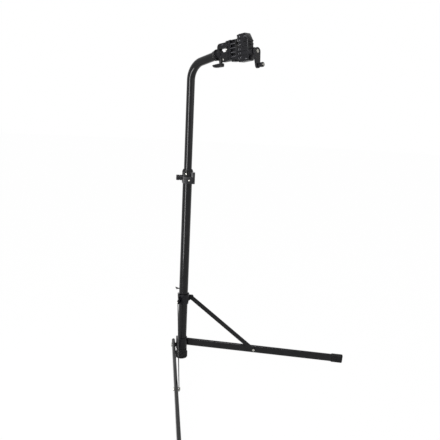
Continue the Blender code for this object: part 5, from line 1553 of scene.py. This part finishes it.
@dataclass
class Head:
    """The clamp head: yoke, fixed jaw, lock lever and the moving jaw with its guide rod.

    The head's own X runs out from the arm, the way the outer jaw opens, and its Z runs up.

    Attributes:
        arm_axes: The arm's axes.
        place: How far along the arm the head starts.
        lift: How far the head is lifted off the arm's axis.
        rise: How far the head dips from the arm's line.
        roll: How far it leans round that line.
        bolt_side: How far to the side each jaw bolt is.
        bolt_seat: How far out along the head the jaw bolts' heads lie.
        jaw_half: How far from the middle the sides of the jaws are.
        yoke_half: How far from the middle the sides of the yoke are.
        plate_half: How far from the middle the sides of the plate are.
        bead: The width and height of a bead.
        upright_bead: The place of the fixed jaw's upright bead, out along the head and up.
        upright_length: The length of that bead.
        rib_place: How far out the middles of the fixed jaw's ribs are.
        rib_length: The length of a rib's bead.
        rib_heights: The height of each rib.
        stud_places: How far out each row of studs on the moving jaw is.
        stud_heights: The height of each stud in a row.
        stud_size: A stud's length, width and height.
        lozenge_place: How far out the lozenges at the jaw's ends are.
        lozenge_heights: The height of each lozenge.
        lozenge_size: A lozenge's length, width and height.
        yoke_bead: The place of the yoke's upright bead.
        yoke_bead_length: The length of that bead.
        yoke_tab: The place of the yoke's raised tab.
        yoke_tab_size: The tab's length, width and height.
        yoke_bolt: The place of the small bolt in the yoke's lower part.
        plate_screw: The place of the screw in the plate.
        bead_ease: How far a bead's edges are rounded, as a share of its width.
        stud_ease: How far the edges of studs and lozenges are rounded.
        yoke_ease: How far the edges of the yoke's bead and tab are rounded.
    """

    arm_axes: Matrix
    place: float = 0.1372
    lift: float = 0.005
    rise: float = math.radians(7)
    roll: float = math.radians(5)
    bolt_side: float = 0.013
    bolt_seat: float = 0.0597
    jaw_half: float = 0.015
    yoke_half: float = 0.008
    plate_half: float = 0.018
    bead: float = 0.0014
    upright_bead: Point = (0.0755, -0.0005)
    upright_length: float = 0.060
    rib_place: float = 0.0892
    rib_length: float = 0.024
    rib_heights: tuple[float, ...] = (0.0192, 0.0049, -0.0094, -0.0238)
    stud_places: tuple[float, ...] = (0.1150, 0.1232)
    stud_heights: tuple[float, ...] = (0.0368, 0.0240, 0.0100, -0.0042, -0.0182, -0.0322)
    stud_size: Triple = (0.0020, 0.0018, 0.0058)
    lozenge_place: float = 0.1460
    lozenge_heights: tuple[float, ...] = (0.0350, -0.0385)
    lozenge_size: Triple = (0.0085, 0.0018, 0.0028)
    yoke_bead: Point = (0.0086, -0.0055)
    yoke_bead_length: float = 0.015
    yoke_tab: Point = (0.0356, 0.0245)
    yoke_tab_size: Triple = (0.0080, 0.0014, 0.0026)
    yoke_bolt: Point = (0.0364, -0.0254)
    plate_screw: Point = (0.0636, 0.0036)
    bead_ease: float = 0.4
    stud_ease: float = 0.0006
    yoke_ease: float = 0.0005

    def __post_init__(self) -> None:
        """Works out the head's axes."""
        tilt = placed((self.place, 0, 0), (0, self.rise, 0)) @ placed((0, 0, 0), (self.roll, 0, 0))
        self.axes = self.arm_axes @ tilt @ placed((0, 0, self.lift))

    def build(self, workshop: Workshop) -> None:
        """Makes the head's pieces.

        Args:
            workshop: Where the pieces are finished.
        """
        for node, soften in (
            ("head_spindle", 0.0004),
            ("head_yoke", 0.0008),
            ("yoke_pin", 0.0002),
            ("fixed_jaw", 0.0006),
            ("fixed_jaw_pad", 0.0004),
            ("screw_nut", 0.0003),
            ("head_lock_lever", 0.0005),
            ("moving_jaw", 0.0006),
            ("moving_jaw_pad", 0.0004),
            ("guide_rod", 0.0005),
        ):
            workshop.carry_over(node, soften)
        # The beads, studs, lozenges and tab are coloured paler: a painted highlight.
        self._fixed_jaw_beads(workshop)
        self._moving_jaw_studs(workshop)
        self._yoke_beads(workshop)
        self._screws(workshop)
        bolt = SocketBolt(head_radius=0.004, head_height=0.004, shank_radius=0.0025, shank_length=0.0176)
        for side in Side:
            seat = placed((self.bolt_seat, side.value * self.bolt_side, 0), (0, -math.pi / 2, 0))
            shape = bolt.build(self.axes @ seat)
            workshop.add(f"jaw_bolt_{side.label}_head", shape, f"jaw_bolt_{side.label}")

    def _bars(self, half: float, rows: Sequence[tuple[Point, Triple]], ease: float) -> bmesh.types.BMesh:
        """Makes raised bars on both sides of the head.

        Args:
            half: How far from the middle the bars' own middles are.
            rows: The place of each bar, out along the head and up, and its size.
            ease: How far their edges are rounded.

        Returns:
            The mesh.
        """
        shape = bmesh.new()
        for side in Side:
            for (x, z), size in rows:
                raised_bar(shape, size, self.axes @ placed((x, side.value * half, z)), ease)
        bmesh.ops.recalc_face_normals(shape, faces=shape.faces)
        return shape

    def _fixed_jaw_beads(self, workshop: Workshop) -> None:
        """Makes the beads on the fixed jaw: one upright, and one along each rib between its wells.

        Args:
            workshop: Where the pieces are finished.
        """
        rows = [(self.upright_bead, (self.bead, self.bead, self.upright_length))]
        rows += [((self.rib_place, z), (self.rib_length, self.bead, self.bead)) for z in self.rib_heights]
        beads = self._bars(self.jaw_half, rows, self.bead * self.bead_ease)
        workshop.moulding("fixed_jaw_beads", beads, "head")

    def _moving_jaw_studs(self, workshop: Workshop) -> None:
        """Makes the two rows of studs on the moving jaw, and the lozenges at its ends.

        Args:
            workshop: Where the pieces are finished.
        """
        rows = [((x, z), self.stud_size) for x in self.stud_places for z in self.stud_heights]
        rows += [((self.lozenge_place, z), self.lozenge_size) for z in self.lozenge_heights]
        studs = self._bars(self.jaw_half, rows, self.stud_ease)
        workshop.moulding("moving_jaw_studs", studs, "jaw")

    def _yoke_beads(self, workshop: Workshop) -> None:
        """Makes the yoke's upright bead and its raised tab.

        Args:
            workshop: Where the pieces are finished.
        """
        rows = [(self.yoke_bead, (self.bead, self.bead, self.yoke_bead_length))]
        rows += [(self.yoke_tab, self.yoke_tab_size)]
        beads = self._bars(self.yoke_half, rows, self.yoke_ease)
        workshop.moulding("yoke_beads", beads, "head")

    def _screws(self, workshop: Workshop) -> None:
        """Makes the small bolts in the yoke's lower part and the screws in the plate.

        Args:
            workshop: Where the pieces are finished.
        """
        bolt = SocketBolt(head_radius=0.0030, head_height=0.0018, shank_radius=0.0015, shank_length=0.0040)
        screw = SocketBolt(head_radius=0.0024, head_height=0.0012, shank_radius=0.0012, shank_length=0.0040)
        for side in Side:
            for name, piece, half, (x, z) in (
                ("yoke_bolt", bolt, self.yoke_half, self.yoke_bolt),
                ("plate_screw", screw, self.plate_half, self.plate_screw),
            ):
                seat = placed((x, side.value * half, z), (-side.value * math.pi / 2, 0, 0))
                shape = piece.build(self.axes @ seat)
                workshop.extra(f"{name}_{side.label}", shape, "head", Finish.ZINC)


@dataclass
class Crank:
    """The lead screw and the crank that turns it.

    Attributes:
        head_axes: The head's axes.
        height: How high the screw's axis is over the head's, so less than 0 below it.
        screw_start: How far out along the head the screw starts.
        screw_radius: The screw's radius over its thread.
        thread_depth: The depth of the thread.
        starts: The number of starts of the thread.
        lead: How far the jaw moves in one turn.
        thread_points: The number of points round the thread.
        thread_step: About how long one row of the thread is.
        seat_radius: The radius of the plain end that the crank sits on.
        seat_start: How far out that end starts.
        seat_ease: How far that end's rim is bevelled.
        seat_steps: The number of steps round it.
        shoulder: The length of the plain shoulder between the thread and that end.
        shoulder_gap: The gap between the thread and the shoulder.
        face: How far out the crank's outer face is.
        length: The length of the crank, from the screw's axis to the knob's.
        bolt_sink: How deep the crank's bolt is sunk in it.
        bolt_radius: The bolt's radius.
        bolt_depth: The bolt's length.
        knob_radius: The knob's radius.
        knob_length: The knob's length.
        knob_steps: The number of steps round the knob.
        knob_bore: The radius of the knob's bore.
        knob_recess: The radius of the recess for its screw's head.
        knob_head: The height of that head.
        knob_grip: How deep the knob's screw goes into the crank.
        gap: The running gap.
    """

    head_axes: Matrix
    height: float = -0.019
    screw_start: float = 0.0265
    screw_radius: float = 0.004
    thread_depth: float = 0.0007
    starts: int = 4
    lead: float = 0.008
    thread_points: int = 48
    thread_step: float = 0.0008
    seat_radius: float = 0.0033
    seat_start: float = 0.1733
    seat_ease: float = 0.0003
    seat_steps: int = 36
    shoulder: float = 0.0005
    shoulder_gap: float = 0.00005
    face: float = 0.1876
    length: float = 0.0465
    bolt_sink: float = 0.0032
    bolt_radius: float = 0.002
    bolt_depth: float = 0.012
    knob_radius: float = 0.0082
    knob_length: float = 0.0205
    knob_steps: int = 64
    knob_bore: float = 0.0028
    knob_recess: float = 0.0048
    knob_head: float = 0.003
    knob_grip: float = 0.008
    gap: float = 0.0003

    def __post_init__(self) -> None:
        """Works out the crank's axes, and where the thread and the seat of the knob's screw end."""
        self.axes = self.head_axes @ placed((0, 0, self.height))
        self.outward = self.axes @ placed((0, 0, 0), (0, math.pi / 2, 0))
        self.thread_end = self.seat_start - self.shoulder
        self.knob_seat = self.knob_length - self.knob_head - self.gap

    def build(self, workshop: Workshop) -> None:
        """Makes the crank's pieces.

        Args:
            workshop: Where the pieces are finished.
        """
        self._thread(workshop)
        self._seat(workshop)
        workshop.carry_over("screw_collar", soften=0.0003)
        workshop.carry_over("crank_arm", soften=0.0008)
        matrix = self.outward @ placed((0, 0, self.face - self.bolt_sink + self.gap))
        bolt = SocketBolt(
            head_radius=0.006,
            head_height=0.0035,
            shank_radius=self.bolt_radius,
            shank_length=self.bolt_depth,
        )
        workshop.add("crank_bolt_head", bolt.build(matrix), "crank_bolt")
        spin = self.axes @ placed((self.face + self.gap, 0, -self.length), (0, math.pi / 2, 0))
        self._knob(workshop, spin)
        screw = SocketBolt(
            head_radius=0.0045,
            head_height=self.knob_head,
            shank_radius=0.0025,
            shank_length=self.knob_seat + 2 * self.gap + self.knob_grip,
        )
        matrix = spin @ placed((0, 0, self.knob_seat + self.gap))
        workshop.add("crank_knob_screw_head", screw.build(matrix), "crank_knob_screw")

    def _thread(self, workshop: Workshop) -> None:
        """Makes the lead screw's helical thread.

        Args:
            workshop: Where the pieces are finished.
        """
        run = self.thread_end - self.screw_start
        rows = round(run / self.thread_step)
        shape = bmesh.new()
        verts = []
        for i, (x, y) in enumerate(circle(1.0, self.thread_points)):
            wave = 0.5 - 0.5 * math.cos(self.starts * FULL_TURN * i / self.thread_points)
            radius = self.screw_radius - self.thread_depth * wave
            verts.append(shape.verts.new((x * radius, y * radius, self.screw_start)))
        edges = [shape.edges.new(pair) for pair in zip(verts, verts[1:] + verts[:1])]
        bmesh.ops.edgenet_fill(shape, edges=edges)
        step = run / rows
        twist = Matrix.Translation((0, 0, step)) @ Matrix.Rotation(FULL_TURN * step / self.lead, 4, "Z")
        for _ in range(rows):
            grown = bmesh.ops.extrude_edge_only(shape, edges=edges)["geom"]
            moved = [item for item in grown if isinstance(item, bmesh.types.BMVert)]
            bmesh.ops.transform(shape, matrix=twist, verts=moved)
            edges = [item for item in grown if isinstance(item, bmesh.types.BMEdge)]
        bmesh.ops.edgenet_fill(shape, edges=edges)
        bmesh.ops.recalc_face_normals(shape, faces=shape.faces)
        bmesh.ops.transform(shape, matrix=self.outward, verts=shape.verts)
        workshop.add("lead_screw_thread", shape, "lead_screw")

    def _seat(self, workshop: Workshop) -> None:
        """Makes the screw's plain end, bored for the crank's bolt.

        Args:
            workshop: Where the pieces are finished.
        """
        seat = self.seat_radius
        bore = self.bolt_radius + self.gap
        far = self.face - self.bolt_sink - self.gap
        floor = far - self.bolt_depth - self.gap
        near = self.thread_end + self.shoulder_gap
        ease = self.seat_ease
        profile = [(0, floor), (bore, floor), (bore, far), (seat - ease, far), (seat, far - ease)]
        profile += [(seat, self.seat_start), (self.screw_radius, self.seat_start)]
        profile += [(self.screw_radius, near), (0, near)]
        shape = turned(profile, self.seat_steps, self.outward)
        workshop.extra("lead_screw_seat", shape, "crank", Finish.ZINC)

    def _knob(self, workshop: Workshop, matrix: Matrix) -> None:
        """Makes the knob, slightly waisted, with a recess for its screw.

        Args:
            workshop: Where the pieces are finished.
            matrix: Where the knob goes, with Z along its own axis.
        """
        radius = self.knob_radius
        top = self.knob_length
        recess = self.knob_recess
        bore = self.knob_bore
        profile = [(recess, top - 0.0005), (recess + 0.0004, top), (radius - 0.0022, top)]
        profile += [(radius - 0.0009, top - 0.0007), (radius - 0.0001, top - 0.0022), (radius, top - 0.0040)]
        profile += [(radius * 0.985, top * 0.60), (radius * 0.93, top * 0.35), (radius * 0.86, top * 0.14)]
        profile += [(radius * 0.84, 0.0012), (radius * 0.80, 0.0004), (radius * 0.74, 0), (bore, 0)]
        profile += [(bore, self.knob_seat), (recess, self.knob_seat)]
        workshop.add("crank_knob_grip", turned(profile, self.knob_steps, matrix), "crank_knob")


@dataclass(frozen=True)
class Lamp:
    """One rectangular lamp.

    Attributes:
        name: The lamp's name.
        place: Where it hangs.
        target: What it points at.
        size: Its width and height.
        power: Its power in watts.
    """

    name: str
    place: Triple
    target: Triple
    size: Point
    power: float

    def hang(self) -> None:
        """Makes the lamp, unseen by the camera."""
        data = bpy.data.lights.new(self.name, "AREA")
        data.shape = "RECTANGLE"
        data.size, data.size_y = self.size
        data.energy = self.power
        lamp = bpy.data.objects.new(self.name, data)
        heading = Vector(self.target) - Vector(self.place)
        turn = heading.to_track_quat("-Z", "Y").to_matrix().to_4x4()
        lamp.matrix_world = Matrix.Translation(self.place) @ turn
        lamp.visible_camera = False
        bpy.context.scene.collection.objects.link(lamp)


@dataclass
class Studio:
    """The floor, the background, the lamps and the camera.

    Attributes:
        sensor: The width of the camera's frame in millimetres.
        lens: The lens in millimetres for that frame.
        position: The camera's place.
        yaw: Its compass turn from looking along +Y.
        pitch: How far it looks down.
        roll: How far it leans.
        clip: The nearest and the farthest distance that it sees.
        floor_radius: The floor's radius.
        floor_drop: How far below the soles the floor lies.
        floor_grey: How light the floor is where it is lit.
        floor_glow: How much of the floor is plain white to the camera and in reflections.
        soft_world: The background's strength as a light.
        lamps: The lamps, which are a tall strip and three soft ones.
    """

    sensor: float = 36.0
    lens: float = 36.0 * 450.0 / 440.0
    position: Triple = (-1.2690, -1.3284, 0.99977)
    yaw: float = math.radians(-1.89 - 46.2)
    pitch: float = math.radians(11.62)
    roll: float = math.radians(2.89)
    clip: Point = (0.05, 100.0)
    floor_radius: float = 30.0
    floor_drop: float = 0.0004
    floor_grey: float = 0.92
    floor_glow: float = 0.985
    soft_world: float = 0.55
    lamps: tuple[Lamp, ...] = (
        Lamp("strip_lamp", (-1.15, -0.22, 0.98), (0, 0, 0.90), (0.30, 1.85), 28.0),
        Lamp("top_lamp", (-1.0, -1.5, 2.9), (0, -0.1, 0.75), (0.6, 0.6), 24.0),
        Lamp("fill_lamp", (0.9, -2.8, 1.6), (0, -0.1, 0.75), (1.8, 1.8), 8.0),
        Lamp("rim_lamp", (1.6, 2.2, 2.6), (0, -0.1, 0.75), (1.4, 1.4), 8.0),
    )

    def build(self) -> None:
        """Makes the whole setting."""
        self._camera()
        self._floor()
        self._world()
        for lamp in self.lamps:
            lamp.hang()
        bpy.context.scene.view_settings.view_transform = "Standard"

    def _camera(self) -> None:
        """Stands the camera where the photograph was taken."""
        right = Vector((math.cos(self.yaw), math.sin(self.yaw), 0))
        flat = Vector((-math.sin(self.yaw), math.cos(self.yaw), 0))
        rise = Vector((0, 0, 1))
        forward = flat * math.cos(self.pitch) - rise * math.sin(self.pitch)
        up = flat * math.sin(self.pitch) + rise * math.cos(self.pitch)
        leaned_right = right * math.cos(self.roll) + up * math.sin(self.roll)
        leaned_up = up * math.cos(self.roll) - right * math.sin(self.roll)
        turn = Matrix((leaned_right, leaned_up, -forward)).transposed().to_4x4()
        data = bpy.data.cameras.new("camera")
        data.lens = self.lens
        data.sensor_width = self.sensor
        data.clip_start, data.clip_end = self.clip
        camera = bpy.data.objects.new("camera", data)
        camera.matrix_world = Matrix.Translation(self.position) @ turn
        bpy.context.scene.collection.objects.link(camera)
        bpy.context.scene.camera = camera

    def _floor(self) -> None:
        """Lays a pale floor that keeps the stand's shadow."""
        shape = bmesh.new()
        bmesh.ops.create_circle(shape, cap_ends=True, segments=64, radius=self.floor_radius)
        mesh = bpy.data.meshes.new("floor")
        shape.to_mesh(mesh)
        shape.free()
        floor = bpy.data.objects.new("floor", mesh)
        bpy.context.scene.collection.objects.link(floor)
        floor.location.z = -self.floor_drop
        mesh.materials.append(self._floor_material())

    def _floor_material(self) -> bpy.types.Material:
        """Makes the floor's material, lit by the lamps and all but white to the camera.

        Returns:
            The new material.
        """
        material = bpy.data.materials.new("pale_floor")
        material.use_nodes = True
        graph = NodeGraph(material.node_tree)
        graph.tree.nodes.clear()
        output = graph.add("ShaderNodeOutputMaterial")
        grey = self.floor_grey
        lit = graph.add("ShaderNodeBsdfDiffuse", {"Color": (grey, grey, grey, 1)})
        glow = graph.add("ShaderNodeEmission", {"Color": WHITE, "Strength": 1.0})
        blend = graph.add("ShaderNodeMixShader")
        rays = graph.add("ShaderNodeLightPath")
        seen = graph.add("ShaderNodeMath", operation="MAXIMUM")
        graph.link(rays.outputs["Is Camera Ray"], seen.inputs[0])
        graph.link(rays.outputs["Is Glossy Ray"], seen.inputs[1])
        graph.link(graph.remap(seen.outputs[0], (0, 1), (0, self.floor_glow)), blend.inputs["Fac"])
        graph.link(lit.outputs["BSDF"], blend.inputs[1])
        graph.link(glow.outputs["Emission"], blend.inputs[2])
        graph.link(blend.outputs["Shader"], output.inputs["Surface"])
        return material

    def _world(self) -> None:
        """Makes the background white, and its light on the stand softer."""
        world = bpy.data.worlds.new("studio")
        bpy.context.scene.world = world
        world.use_nodes = True
        graph = NodeGraph(world.node_tree)
        background = graph.tree.nodes["Background"]
        background.inputs["Color"].default_value = WHITE
        rays = graph.add("ShaderNodeLightPath")
        seen = graph.add("ShaderNodeMath", operation="MAXIMUM")
        graph.link(rays.outputs["Is Camera Ray"], seen.inputs[0])
        graph.link(rays.outputs["Is Glossy Ray"], seen.inputs[1])
        through = graph.add("ShaderNodeMath", operation="MAXIMUM")
        graph.link(seen.outputs[0], through.inputs[0])
        graph.link(rays.outputs["Is Transmission Ray"], through.inputs[1])
        strength = graph.remap(through.outputs[0], (0, 1), (self.soft_world, 1.0))
        graph.link(strength, background.inputs["Strength"])


def main() -> None:
    """Builds the sub-assemblies in order, then the setting."""
    logging.basicConfig(level=logging.INFO, format="%(name)s: %(message)s")
    workshop = Workshop()
    Mast().build(workshop)
    for side in Side:
        Leg(side).build(workshop)
    Collar().build(workshop)
    MastClamp().build(workshop)
    upper = UpperMast()
    upper.build(workshop)
    head = Head(upper.axes)
    head.build(workshop)
    Crank(head.axes).build(workshop)
    Studio().build()


if __name__ == "__main__":
    main()
